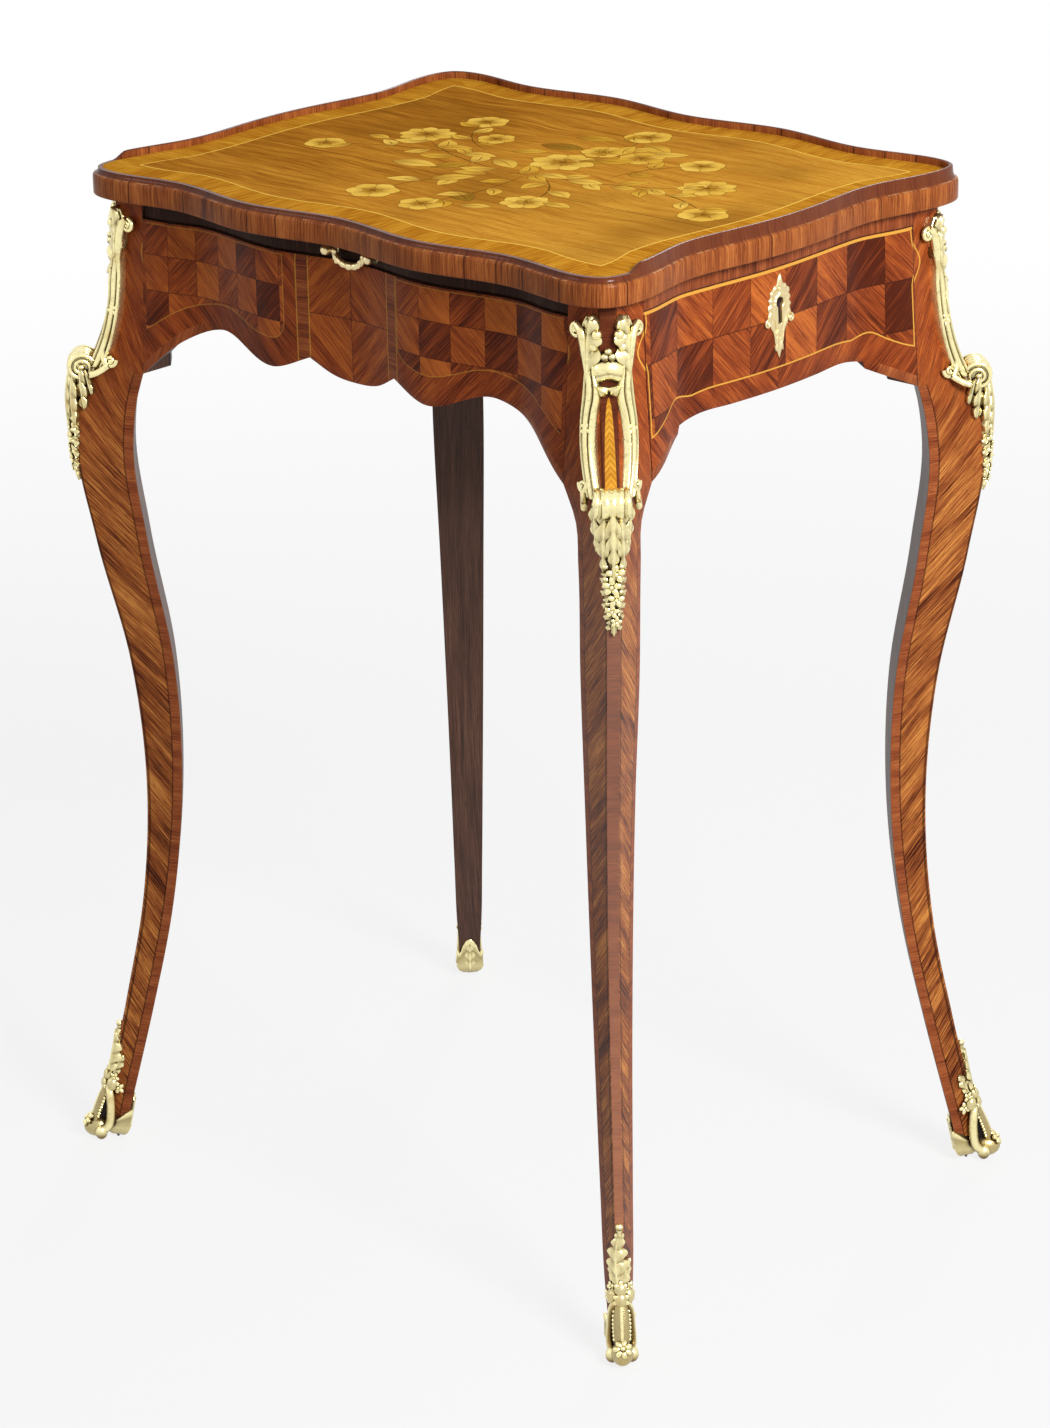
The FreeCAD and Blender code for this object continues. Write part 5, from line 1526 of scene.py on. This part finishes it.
@dataclass
class TableTop:
    """Moulded edge of the top in lengths and corner pieces, and the marquetry of its field.

    Attributes:
        leg: legs under it.
        front: mean, swell and wave of the front edge beyond the leg faces.
        side: mean, swell and wave of the side edge.
        corner: plan points of the corner beyond the middle of the top.
        under, band, field, lip: levels of the underside, band top, field and gallery.
        ramp: (Y, length) of the ramps where the gallery ends at the front.
        field_inset: inset of the field from the edge.
    """

    leg: CabrioleLeg
    front: Three = (13.3, 4.7, 140.0)
    side: Three = (5.3, 3.0, 176.0)
    corner: tuple = ((184.5, 172.2), (199.6, 172.2), (215.5, 165.6), (222.1, 145.5))
    under: float = 663.5
    band: float = 677.0
    field: float = 680.4
    lip: float = 685.0
    ramp: Spot = (-145.5, 11.0)
    field_inset: float = 27.4

    def front_edge(self, x: Array) -> Array:
        """Distance of the serpentine front edge from the middle."""
        mean, swell, wave = self.front
        return self.leg.leg_y + mean - swell * np.cos(2 * np.pi * x / wave)

    def side_edge(self, y: Array) -> Array:
        """Distance of the serpentine side edge from the middle."""
        mean, swell, wave = self.side
        return self.leg.leg_x + mean + swell * np.cos(2 * np.pi * y / wave)

    def plan(self) -> tuple[Array, Callable[[Array], Array], list[int]]:
        """Closed plan curve through serpentine and corner points, and the points at which the joints lie."""
        x = np.arange(5) * self.front[2] / 4
        y = np.arange(3) * self.side[2] / 4
        front = np.stack([x, self.front_edge(x)], 1)
        side = np.stack([self.side_edge(y), y], 1)
        quarter = np.concatenate([front, self.corner, side[::-1]])
        right = np.concatenate([quarter[:-1] * (1, -1), quarter[::-1]])
        loop = np.concatenate([right, right[-2:0:-1] * (-1, 1)])
        at, curve = closed_spline(loop)
        first, last = len(front), len(front) + 3
        n = len(right) - 1
        joints = [first, last, n - last, n - first, n + first, n + last, 2 * n - last, 2 * n - first]
        return at, curve, joints

    def profile(self, rise: Array) -> tuple[Array, Array]:
        """Section of the edge for gallery heights: band with an eased arris, hollow, and rounded lip or flat.

        Args:
            rise: height of the crest for each place along the edge.

        Returns:
            Insets and heights, one row for each place.
        """
        t = np.linspace(0, 1, 7)
        band_in = [0.5, 0.12, 0.0, -0.05, 0.0, 0.25, 0.8, 1.5]
        band_z = [0.0, 0.5, 1.2, 6.5, 11.4, 12.6, 13.3, 13.5]
        cove_in = 1.5 + 2.1 * np.sin(t[1:] * np.pi / 2)
        cove_f = 1 - np.cos(t[1:] * np.pi / 2)
        lip_in = 5.0 - 1.4 * np.cos(np.linspace(0, np.pi, 8)[1:])
        round_up = 1.0 * np.sin(np.linspace(0, np.pi, 8)[1:])
        inset = np.concatenate([band_in, cove_in, lip_in, [6.4, 7.8, 12.0, 12.0]])
        rise = rise[:, None]
        lift = np.clip((rise - self.field) / (self.lip - self.field), 0, 1)
        crest = rise - 1.0 * lift
        band_part = self.under + np.array(band_z)[None, :] + 0 * rise
        cove = self.band + (crest - self.band) * cove_f[None, :]
        roll = crest + lift * round_up[None, :]
        flat = self.field + np.array([-0.12, -0.2, -0.3])[None, :] + 0 * rise
        return inset, np.concatenate([band_part, cove, roll, flat, self.under + 0 * rise], 1)

    def build_edges(self, finish: Finish) -> list[tuple[str, Piece]]:
        """Eight lengths of moulding: the profile carried along the plan between joints.

        Args:
            finish: edge wood.

        Returns:
            (node, piece) pairs.
        """
        at, curve, joints = self.plan()
        names = "corner_fr edge_right corner_br edge_back corner_bl edge_left corner_fl edge_front".split()
        pieces = []
        for n, name in enumerate(names):
            start, stop = at[joints[n]], at[joints[(n + 1) % 8]]
            stop += at[-1] if stop < start else 0.0
            s = np.linspace(start + 0.04, stop - 0.04, max(24, int((stop - start) / 3.0)))
            foot = curve(s)
            along = curve(s + 0.5) - curve(s - 0.5)
            along /= np.linalg.norm(along, axis=1, keepdims=True)
            inward = np.stack([-along[:, 1], along[:, 0]], 1)
            gallery = name in names[1:6]
            climb = ease((foot[:, 1] - self.ramp[0]) / self.ramp[1]) if gallery else np.zeros(len(s))
            inset, z = self.profile(self.field + (self.lip - self.field) * climb)
            grid = np.concatenate([foot[:, None] + inward[:, None] * inset[None, :, None], z[..., None]], 2)
            step = np.linalg.norm(np.diff(grid, axis=1, append=grid[:, :1]), axis=2).mean(0)
            level = np.concatenate([[0.0], np.cumsum(step)])
            uv = np.ones((len(s), len(level), 4))
            uv[..., 0], uv[..., 1] = s[:, None], level[None, :]
            pieces.append((name, Shape().shell(grid, uv).make(name + "_moulded", [finish], sharp=35.0)))
        return pieces

    def sliver(self, shape: Shape, root: Array, tip: Array, half: float, tone: float, bow: float, point: float,
               level: float) -> None:
        """One sawn leaf of veneer, let into the field: half width half sin(pi t^point) about a bowed spine.

        Args:
            shape: where it goes.
            root, tip: ends in plan.
            half: half width.
            tone: wood, 0 dark to 1 light.
            bow: sideways bow of its spine.
            point: where along it the widest place lies.
            level: height of its face over the field.
        """
        t = np.linspace(0.0, 1.0, 13)[:, None]
        q = np.array([[-1.0, -0.45, 0.45, 1.0]])
        run = tip - root
        side = np.array([-run[1], run[0]]) / np.hypot(*run)
        width = half * np.sin(np.pi * np.clip(t, 0.015, 0.985) ** point) ** 0.8
        plan = (root + run * t + side * bow * 4 * t * (1 - t))[:, None, :] + side * (q * width)[..., None]
        top = np.concatenate([plan, np.full((13, 4, 1), self.field + level)], 2)
        low = np.concatenate([plan, np.full((13, 4, 1), self.field - 0.3)], 2)
        uv = toned(13, 8, tone)
        uv[:, :, 1] = np.clip(0.1 + 1.5 * t, 0, 1)
        shape.shell(pillow(top, low), uv)

    def petal(self, shape: Shape, root: Array, tip: Array, half: float, tone: float, bow: float = 0.0,
              point: float = 1.0, vein: bool = False) -> None:
        """A petal or leaf: a dark outline under a paler face, each laid a little over the last, with a vein."""
        root, tip = np.asarray(root, float), np.asarray(tip, float)
        step = 0.06 * ((shape.count * 0.0061803) % 1.0)
        grow = (tip - root) / np.hypot(*(tip - root)) * 0.3
        self.sliver(shape, root - grow, tip + grow, half + 0.3, 0.08, bow, point, 0.03 + step)
        self.sliver(shape, root, tip, half, tone, bow, point, 0.045 + step)
        if vein:
            self.sliver(shape, root + 0.1 * (tip - root), tip - 0.12 * (tip - root), 0.3, 0.04, bow, 1.0, 0.06 + step)

    def flower(self, shape: Shape, at: Spot, size: float, petals: int, tone: float, turn: float) -> None:
        """A marquetry flower: broad petals, an inner ring of small ones and a dark eye."""
        centre = np.array(at, float)
        for n in range(petals):
            ray = heading(turn + 2 * np.pi * n / petals)
            self.petal(shape, centre + 0.2 * size * ray, centre + size * ray, size * 2.5 / petals,
                       tone + 0.10 * (n % 2), 0.0, 1.45)
        for n in range(5):
            ray = heading(turn + 0.4 + 2 * np.pi * n / 5)
            self.sliver(shape, centre + 0.1 * size * ray, centre + 0.42 * size * ray, size * 0.12, 0.36, 0.0, 1.2, 0.12)
        side = np.array([0.13 * size, 0.0])
        self.sliver(shape, centre - side, centre + side, 0.12 * size, 0.22, 0.0, 1.0, 0.13)

    def spray(self, shape: Shape, root: Spot, tip: Spot, bow: float, leaves: int,
              size: float, tone: float) -> None:
        """A thin bowed stem with leaves on both sides."""
        root, tip = np.array(root, float), np.array(tip, float)
        run = tip - root
        side = np.array([-run[1], run[0]]) / np.hypot(*run)
        self.sliver(shape, root, tip, 0.6, 0.14, bow, 1.0, 0.025)
        for n in range(leaves):
            t = (n + 0.8) / (leaves + 0.4)
            foot = root + run * t + side * bow * 4 * t * (1 - t)
            hand = 1 if n % 2 else -1
            ray = run / np.hypot(*run) * 0.75 + side * hand * 0.75
            self.petal(shape, foot, foot + ray * size, size * 0.28, tone + 0.12 * (n % 3), hand * size * 0.1, 0.9, True)

    def build_marquetry(self, finish: Finish) -> Piece:
        """Floral sprays over the field: a bough from left to right, three large flowers and many small ones."""
        shape = Shape()
        for root, tip, bow, leaves, size, tone in (
                ((30, -10), (-108, 26), 14, 6, 22, 0.56), ((-30, 6), (-145, -28), -10, 4, 17, 0.60),
                ((-50, 22), (-102, 78), 10, 4, 17, 0.52), ((10, 20), (8, 108), -10, 4, 20, 0.40),
                ((20, 30), (44, 90), 6, 3, 24, 0.50), ((0, -6), (124, 30), -12, 6, 19, 0.56),
                ((60, 14), (86, 74), 8, 3, 18, 0.45), ((80, 4), (164, -18), 10, 4, 17, 0.56),
                ((6, -12), (-34, -98), -10, 4, 21, 0.60), ((24, -8), (62, -66), 10, 3, 20, 0.62),
                ((14, -12), (13, -102), 6, 4, 18, 0.52)):
            self.spray(shape, root, tip, bow, leaves, size, tone)
        for x, y, size, tone, angle in (
                (-45, 9, 15, 0.74, 0.3), (-17, 3, 17, 0.70, -0.4), (-62, -32, 20, 0.76, 0.2),
                (-40, -22, 16, 0.40, 1.1), (-18, 58, 19, 0.30, 0.2), (-15, 88, 17, 0.45, 0.4),
                (34, 90, 18, 0.60, -0.3), (29, -3, 14, 0.74, 0.1), (55, -2, 15, 0.78, 0.3),
                (43, -88, 12, 0.70, 0.5), (84, 1, 11, 0.64, 0.3), (105, 7, 11, 0.72, -0.2),
                (-26, 36, 14, 0.56, 0.6), (-17, -44, 17, 0.66, 0.9), (19, -75, 18, 0.28, -0.5),
                (80, -56, 13, 0.66, 0.1), (-130, 6, 11, 0.64, 0.0), (-70, 14, 14, 0.6, 0.5)):
            ray = heading(angle) * size * 0.8
            self.petal(shape, np.array([x, y]) - ray, np.array([x, y]) + ray, size * 0.42, tone, 0.8, 0.9, True)
        for at, size, petals, tone, turn in (
                ((-145, -28), 14, 5, 0.68, 0.4), ((-103, 79), 15, 6, 0.70, 0.0),
                ((-66, 48), 13, 6, 0.62, 0.2), ((12, 64), 15, 6, 0.64, 0.5),
                ((8, 112), 16, 5, 0.70, 1.2), ((85, 74), 15, 5, 0.74, 0.9),
                ((164, -18), 16, 5, 0.70, 0.3), ((-33, -99), 17, 6, 0.74, 0.6),
                ((13, -104), 15, 6, 0.70, 0.1), ((60, -62), 16, 7, 0.74, 0.4),
                ((42, 66), 16, 6, 0.58, 0.0), ((-110, 30), 19, 9, 0.70, 0.1),
                ((124, 33), 19, 9, 0.68, 0.3), ((10, 28), 22, 8, 0.74, 0.2)):
            self.flower(shape, at, size, petals, tone, turn)
        return shape.make("marquetry_sprays", [finish], sharp=60.0)

    def build_stringing(self, finish: Finish) -> Piece:
        """Light line round the field: a thin strip whose four sides follow the serpentine edges at an inset."""
        inset, half = self.field_inset, 0.55
        x = np.linspace(-1, 1, 81)[:-1]
        wide, deep = self.corner[-1][0] - inset, self.corner[0][1] - inset
        fade = ease((np.abs(x) - 0.72) / 0.28)

        def loop(step: float) -> Array:
            """Closed line at a further step inwards."""
            a, b = x * (wide - step), x * (deep - step)
            front = (self.front_edge(a) - inset) * (1 - fade) + deep * fade - step
            side = (self.side_edge(b) - inset) * (1 - fade) + wide * fade - step
            return np.concatenate([np.stack([a, -front], 1), np.stack([side, b], 1),
                                   np.stack([-a, front], 1), np.stack([-side, -b], 1)])

        levels = ((0.0, -0.3), (2 * half, -0.3), (2 * half, 0.02), (0.0, 0.02))
        rings = np.stack([np.column_stack([loop(s), np.full(320, self.field + z)]) for s, z in levels])
        rings = np.concatenate([rings, rings[:1]])
        return Shape().shell(rings, toned(5, 320, 0.85), 0, False).make("field_stringing", [finish], sharp=60.0)


# ---- pull, escutcheon, room


@dataclass
class SlidePull:
    """Two turned posts on the slide's edge and the bail that swings between them.

    Attributes:
        spacing: distance between the posts.
        seat, level: Y of the edge they stand on, and their height.
        pivot: how far out the bail's pivots lie.
        arm, drop: half width and hang of the bail.
    """

    spacing: float = 36.0
    seat: float = -148.8
    level: float = 657.1
    pivot: float = 5.4
    arm: float = 12.3
    drop: float = 7.5

    def build_post(self, sign: int, gilt: Finish) -> Piece:
        """A post: collar, waisted neck and domed head, turned about its own axis."""
        t = np.linspace(0, np.pi / 2, 7)
        profile = [(0, -1.2), (4.9, -1.2), (4.9, 0.6), (4.4, 1.3), (3.0, 2.0), (2.6, 3.2), (3.1, 4.4), (3.2, 6.4)]
        profile += [(3.2 * np.cos(a), 7.6 + 3.0 * np.sin(a)) for a in t]
        shape = Shape().shell(turned(profile, (sign * self.spacing / 2, self.seat, self.level), (0, -1, 0)))
        return shape.make("pull_post_turned_" + ("left" if sign < 0 else "right"), [gilt], sharp=50.0)

    def build_bail(self, gilt: Finish) -> Piece:
        """The bail: a round section on half an ellipse, swelling to a beaded middle, with its pivots."""
        t = np.linspace(0, np.pi, 61)
        y = self.seat - self.pivot
        path = np.stack([self.arm * np.cos(t), y + 0 * t, self.level - self.drop * np.sin(t)], 1)
        off = np.abs(t - np.pi / 2)
        bead = 0.55 * np.exp(-(off / 0.10) ** 2) + 0.35 * np.exp(-((off - 0.42) / 0.09) ** 2)
        radius = 1.75 + 0.5 * np.sin(t) + bead
        shape = Shape().shell(tube(path, radius, radius, (0, 1, 0), 14))
        for s in HANDS:
            end = np.array([s * self.arm, y, self.level])
            pearl(shape, end, 2.1, 1.0, 9, 12)
            shape.shell(turned([(1.4, 0.0), (1.4, 8.6)], end, (s, 0, 0), 12))
            leaf(shape, lambda a, z, h: np.stack(alike(a, y - 1.4 - h, self.level + z), -1),
                 (s * 11.6, -1.0), (s * 9.0, -7.2), 1.6, 0.9, 0.0, 2, 0.2)
        return shape.make("pull_bail_cast", [gilt], sharp=50.0)


@dataclass
class KeyPlate:
    """Cast keyhole plate on the drawer front: a cartouche in rings from the keyhole to its outline.

    Attributes:
        apron: surface that it lies on.
        bow: height of the keyhole's round.
        hole: radius of the round, half width and depth of the slot.
        outline: (angle from upright in degrees, radius) round the round's middle.
    """

    apron: Apron
    bow: float = 630.5
    hole: Three = (3.3, 1.9, 13.2)
    outline: Knots = ((0.0, 17.4), (7.0, 15.2), (14.0, 12.6), (39.0, 11.6), (66.0, 10.2), (90.0, 9.8), (121.0, 12.2),
                      (138.0, 14.4), (150.0, 15.8), (162.0, 18.6), (168.0, 22.0), (173.0, 26.4), (180.0, 34.0))

    def place(self, y: Array, h: Array, lift: Array) -> Array:
        """Point at y along and h above the keyhole's round, lifted from the drawer front."""
        y, h = np.asarray(y, float), np.asarray(h, float)
        return self.apron.at(y, self.apron.out(y, self.bow + h) + lift, self.bow + h)

    def build(self, gilt: Finish) -> Piece:
        """Rings of radius from the hole to the outline; two rims, the outer one lobed, with a hollow between.

        Args:
            gilt: finish.

        Returns:
            The plate.
        """
        phi = np.linspace(-np.pi, np.pi, 180, endpoint=False)
        down = np.pi - np.abs(phi)
        bow, slot, deep = self.hole
        ray = np.minimum(slot / np.maximum(np.abs(np.sin(down)), 1e-6), deep / np.maximum(np.cos(down), 1e-6))
        inner = np.maximum(bow, np.where(down < np.pi / 2, ray, 0))
        lobe = np.cos(14 * phi)
        outer = through(np.degrees(np.abs(phi)), self.outline) + 0.6 * lobe
        q = np.concatenate([[0.0], np.linspace(0, 1, 19), [1.0]])[:, None]
        rim = np.exp(-((q - 0.12) / 0.12) ** 2) + (0.9 + 0.3 * lobe) * np.exp(-((q - 0.78) / 0.16) ** 2)
        lift = 0.8 + rim + 0 * phi
        # Painted highlight on the raised rims, painted shade in the hollow between them.
        tone = np.clip((lift - 0.75) / 0.8, 0, 1)
        lift[0] = lift[-1] = -0.4
        radius = inner + (outer - inner) * q
        front = self.place(radius * np.sin(phi), radius * np.cos(phi), lift)
        uv = np.ones((22, 181, 4))
        uv[:21, :, 0] = np.concatenate([tone, tone[:, :1]], 1)
        shape = Shape().shell(np.concatenate([front, front[:1]]), uv, 0, False)
        for s in HANDS:
            leaf(shape, self.place, (s * 1.2, -15.0), (s * 3.0, -30.0), 1.8, 1.5, 0.0, 3, 0.1)
            volute(shape, self.place, (s * 10.6, -11.5), 2.4, 0.8, -s, 90.0, 1.3)
        leaf(shape, self.place, (0.0, 5.0), (0.0, 17.0), 1.8, 1.6, 0.0, 3, 0.1)
        return shape.make("key_plate_cast", [gilt], sharp=50.0)


@dataclass
class Room:
    """White floor, soft light and the camera at the photograph's angle.

    Attributes:
        azimuth, elevation, roll: camera direction in degrees.
        distance, target, aside: metres from the aim point, its height, and the camera's step to the right.
        lens, shift: millimetres and frame fractions.
        lamps: name, place, aim, size and power of each.
    """

    azimuth: float = 42.786
    elevation: float = 21.011
    roll: float = -0.991
    distance: float = 2.7756
    target: float = 0.3156
    aside: float = 0.00104
    lens: float = 106.7
    shift: Spot = (-0.0053, -0.0006)
    lamps: tuple = (("key", (2.0, -0.45, 1.7), (0.1, 0, 0.4), 0.7, 62.0),
                    ("fill", (-1.3, -2.2, 1.7), (-0.1, 0, 0.4), 0.7, 5.0),
                    ("back", (-0.9, 1.8, 2.0), (0, 0, 0.5), 0.6, 14.0))

    def build(self) -> None:
        """Sets the camera, the floor, the lamps and the world."""
        scene = bpy.context.scene
        scene.view_settings.view_transform = "Standard"
        az, el, roll = map(math.radians, (self.azimuth, self.elevation, self.roll))
        back = Vector((math.sin(az) * math.cos(el), -math.cos(az) * math.cos(el), math.sin(el)))
        level = Vector((math.cos(az), math.sin(az), 0.0))
        rise = back.cross(level)
        right = level * math.cos(roll) + rise * math.sin(roll)
        up = rise * math.cos(roll) - level * math.sin(roll)
        data = bpy.data.cameras.new("photo_angle")
        data.lens, data.sensor_width = self.lens, 36.0
        data.shift_x, data.shift_y = self.shift
        camera = bpy.data.objects.new("photo_angle", data)
        spot = Vector((0, 0, self.target)) + back * self.distance + level * self.aside
        camera.matrix_world = Matrix((*zip(right, up, back, spot), (0, 0, 0, 1)))
        scene.collection.objects.link(camera)
        scene.camera = camera
        self.floor()
        for name, place, aim, size, power in self.lamps:
            lamp = bpy.data.lights.new(name, "AREA")
            lamp.size, lamp.energy = size, power
            item = bpy.data.objects.new(name, lamp)
            item.location = place
            item.rotation_euler = (Vector(aim) - Vector(place)).to_track_quat("-Z", "Y").to_euler()
            scene.collection.objects.link(item)

    def floor(self) -> None:
        """A pale floor that is near white to the eye and keeps the shadow, and a white world, softer as light."""
        mesh = bpy.data.meshes.new("floor")
        mesh.from_pydata([(-9, -9, -0.0005), (9, -9, -0.0005), (9, 9, -0.0005), (-9, 9, -0.0005)], [], [(0, 1, 2, 3)])
        floor = bpy.data.objects.new("floor", mesh)
        bench = Bench("white_floor")
        x, y, _ = bench.spot()
        tone = bench.noise(bench.vector(x, y, 0.0), 0.001, 2.0)
        far = (x * x + y * y).root().ease(700.0, 2600.0)
        glow = bench.wire("ShaderNodeEmission", {}, {"Color": (1.0, 1.0, 1.0)})
        grey = bench.mix((0.53, 0.53, 0.53), (0.57, 0.57, 0.57), tone)
        paper = bench.wire("ShaderNodeBsdfDiffuse", {}, {"Color": grey})
        share = (far * 0.16 + 0.84) * bench.seen()
        join = bench.wire("ShaderNodeMixShader", {}, {0: share, 1: paper, 2: glow})
        bench.node("ShaderNodeOutputMaterial", {}, {"Surface": join})
        mesh.materials.append(bench.material)
        bpy.context.scene.collection.objects.link(floor)
        world = bpy.data.worlds.new("studio")
        bpy.context.scene.world = world
        world.use_nodes = True
        sky = Bench("studio_sky", world.node_tree)
        tone = sky.mix((0.30, 0.30, 0.30), (1.0, 1.0, 1.0), sky.seen())
        sky.node("ShaderNodeOutputWorld", {}, {"Surface": sky.wire("ShaderNodeBackground", {}, {"Color": tone})})


# ---- the table


@dataclass
class WritingTable:
    """Builds every piece in order and ties it to the frame."""

    leg: CabrioleLeg = field(default_factory=CabrioleLeg)
    slot_floor: float = 650.5
    drawer_top: float = 652.0
    rail_under: float = 652.5
    front_span: float = 180.0
    side_span: float = 126.5
    drawer_span: float = 126.0
    slide_edge: Four = (651.1, 663.1, 179.6, 2.0)
    bolt_slot: tuple = ((188.0, -9.6, 652.0), (197.5, 9.6, 659.5))
    lock_recess: tuple = ((187.0, -25.0, 606.0), (196.5, 25.0, 653.0))
    key_slot: tuple = ((190.0, -1.8, 617.0), (215.0, 1.8, 630.0))
    key_round: tuple = (3.1, 25.0, (190.0, 0.0, 630.5))

    def tie(self, piece: Piece, body: Body, slot: str, *nodes: str) -> None:
        """Rides a piece on its body in place of CAD nodes, with its material slot."""
        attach(piece, body.value)
        if nodes:
            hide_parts(*nodes)
        log.info("%s: %d faces", piece.name, len(piece.data.polygons))

    def dress(self, finishes: dict[str, Finish]) -> None:
        """Gives CAD nodes their finish; each key names one or more nodes."""
        for names, material in finishes.items():
            for name in names.split():
                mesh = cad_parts[name].data
                mesh.materials.clear()
                mesh.materials.append(material)
                log.info("%s: %s", name, material.name)

    @staticmethod
    def oak(name: str, grain: Grain) -> Finish:
        """Plain oak with its grain along an axis."""
        return PlainWood(name + "_oak", OAK, grain).finish()

    def front_apron(self) -> Apron:
        """Front and back aprons."""
        lower = (((0, 24.5), (19, 27), (36, 35.5)), ((36, 35.5), (62, 25.8), (118, 37.5), (149, 25.5), (180, 0)))
        return Apron(self.leg, self.front_span, self.leg.leg_y, 18.5, (-2.0, -4.2, 132.0), lower, True)

    def side_apron(self) -> Apron:
        """Drawer front, its rail and the left apron."""
        lower = (((0, 25.5), (40, 25.5), (70, 25.5), (87, 22.5)), ((87, 22.5), (89, 17.5)),
                 ((89, 17.5), (108, 8.5), (126.5, 0)))
        return Apron(self.leg, self.side_span, self.leg.leg_x, 23.0, (-5.2, 2.3, 180.0), lower, False)

    def front_panel(self, name: str, top: float) -> Finish:
        """Parquetry of the front and back: squares on either side of a quartered centre."""
        return Parquetry(name, columns=((-159.0, 20.4), (62.0, 24.0)), rows=(606.0, 23.0), lines=(54.0, 41.0),
                         ends=177.0, rise=(17.5, 25.0, 120.0, 176.0), top=top,
                         centre=(-35.0, 31.0, -3.0, 615.0)).finish()

    def side_panel(self, name: str, top: float) -> Finish:
        """Parquetry of the drawer and the left side: one panel of larger squares in bold stringing."""
        return Parquetry(name, columns=((7.0, 32.0), (7.0, 32.0)), rows=(620.0, 32.0), lines=None, ends=124.4,
                         rise=(14.0, 24.0, 72.0, 96.0), top=top, string=0.4, bold=1.0, strip=96.0).finish()

    def build_legs(self) -> None:
        """Legs with their corner and foot mounts."""
        woods = [LegFaces().finish(), LegArris().finish(), PlainWood("leg_inside", WALNUT, Grain.Z, 0.45).finish()]
        # shadow_wood is painted shade: near-black wood for the sheet in each foot mount's ring.
        gilt, dark = Ormolu().finish(), PlainWood("shadow_wood", PAINTED_SHADE, Grain.Z).finish()
        mount, foot = CornerMount(self.leg), FootMount(self.leg)
        for side in Side:
            self.tie(self.leg.build(side, woods), Body.FRAME, "leg_veneer", "leg_" + side.tag)
            self.tie(mount.build(side, gilt), Body.FRAME, "ormolu", "chute_" + side.tag)
            self.tie(foot.build(side, [gilt, dark]), Body.FRAME, "ormolu", "sabot_" + side.tag)

    def build_aprons(self) -> None:
        """Front, back and left aprons and the rail over the drawer."""
        inside = PlainWood("apron_inside", WALNUT, Grain.X).finish()
        front, side, top = self.front_apron(), self.side_apron(), self.leg.top
        front_face = self.front_panel("apron_panel", self.slot_floor)
        back_face = self.front_panel("apron_back_panel", top)
        left_face = self.side_panel("flank_panel", top)
        shapes = (("apron_front", front.shape(self.slot_floor, self.front_span), front_face, Side.FRONT_RIGHT),
                  ("apron_back", front.shape(top, self.front_span), back_face, Side.BACK_RIGHT),
                  ("apron_left", side.shape(top, self.side_span), left_face, Side.FRONT_LEFT))
        for name, shape, face, place in shapes:
            self.tie(shape.make(name + "_veneered", [face, inside], place), Body.FRAME, "apron_parquetry", name)
        band = CrossGrain("rail_band", CROSSBAND, -0.05, 0.3).finish()
        rail = side.shape(top, self.side_span, self.rail_under).make("rail_right_veneered", [band, inside])
        cut(rail, [block(*self.bolt_slot)])
        self.tie(rail, Body.FRAME, "apron_parquetry", "rail_right")

    def build_top(self) -> None:
        """Moulded edges, marquetry, field and banding."""
        top = TableTop(self.leg)
        for name, piece in top.build_edges(EdgeWood().finish()):
            self.tie(piece, Body.FRAME, "edge_wood", name)
        woods = Inlay().finish()
        self.tie(top.build_marquetry(woods), Body.FRAME, "top_marquetry")
        self.tie(top.build_stringing(woods), Body.FRAME, "top_marquetry")
        self.dress({"top_field": TopField().finish(), "top_banding": TopBanding().finish()})

    def build_slide(self) -> None:
        """Serpentine front edge of the slide with its pull."""
        low, high, span, back = self.slide_edge
        oak = self.oak("slide", Grain.X)
        # slide_edge is painted shade: dark walnut, lowered further, so the slide's edge reads as the shadowed slot
        # under the top.
        woods = [CrossGrain("slide_edge", WALNUT, -0.3, 0.5).finish(), oak]
        edge = self.front_apron().shape(high, span, low, back).make("slide_front_veneered", woods)
        self.tie(edge, Body.SLIDE, "edge_wood", "slide_front")
        gilt = bpy.data.materials["ormolu"]
        pull = SlidePull()
        for sign, node in ((-1, "pull_post_left"), (1, "pull_post_right")):
            self.tie(pull.build_post(sign, gilt), Body.SLIDE, "ormolu", node)
        self.tie(pull.build_bail(gilt), Body.BAIL, "ormolu", "pull_bail")
        self.dress({"slide_leather": Leather().finish(), "slide_panel slide_stop_left slide_stop_right": oak,
                    "slide_clamp": self.oak("clamp", Grain.X)})

    def build_drawer(self) -> None:
        """Drawer front with its keyhole and plate, box and lock."""
        side = self.side_apron()
        materials = bpy.data.materials
        face = self.side_panel("drawer_panel", self.drawer_top)
        woods = [face, materials["apron_inside"], materials["shadow_wood"]]
        front = side.shape(self.drawer_top, self.drawer_span).make("drawer_front_veneered", woods)
        radius, length, start = self.key_round
        cut(front, [block(*self.lock_recess)], 1)
        # The keyhole's walls take shadow_wood: painted shade, so the hole reads as deep and dark.
        cut(front, [block(*self.key_slot), turned([(radius, 0.0), (radius, length)], start, (1, 0, 0))], 2)
        self.tie(front, Body.DRAWER, "apron_parquetry", "drawer_front")
        self.tie(KeyPlate(side).build(materials["ormolu"]), Body.DRAWER, "ormolu", "escutcheon")
        self.dress({"drawer_side_front drawer_side_back": self.oak("drawer_side", Grain.X),
                    "drawer_back": self.oak("drawer_back", Grain.Y),
                    "drawer_bottom": self.oak("drawer_bottom", Grain.Y),
                    "lock_case": LOCK_BRASS.finish(), "lock_bolt lock_pin": LOCK_STEEL.finish()})

    def build_carcase(self) -> None:
        """Plain wood inside."""
        self.dress({"top_core": self.oak("core", Grain.X),
                    "ledger_left ledger_right": self.oak("ledger", Grain.Y),
                    "guide_front guide_back runner_front runner_back": self.oak("runner", Grain.X),
                    "drawer_stop_front drawer_stop_back": self.oak("stop", Grain.Z)})


def main() -> None:
    """Builds the room and the table, and notes the size before and after."""
    logging.basicConfig(level=logging.INFO, format="%(name)s %(message)s")
    Room().build()
    table = WritingTable()
    for step in (table.build_legs, table.build_aprons, table.build_top, table.build_slide, table.build_drawer,
                 table.build_carcase):
        step()


if __name__ == "__main__":
    main()
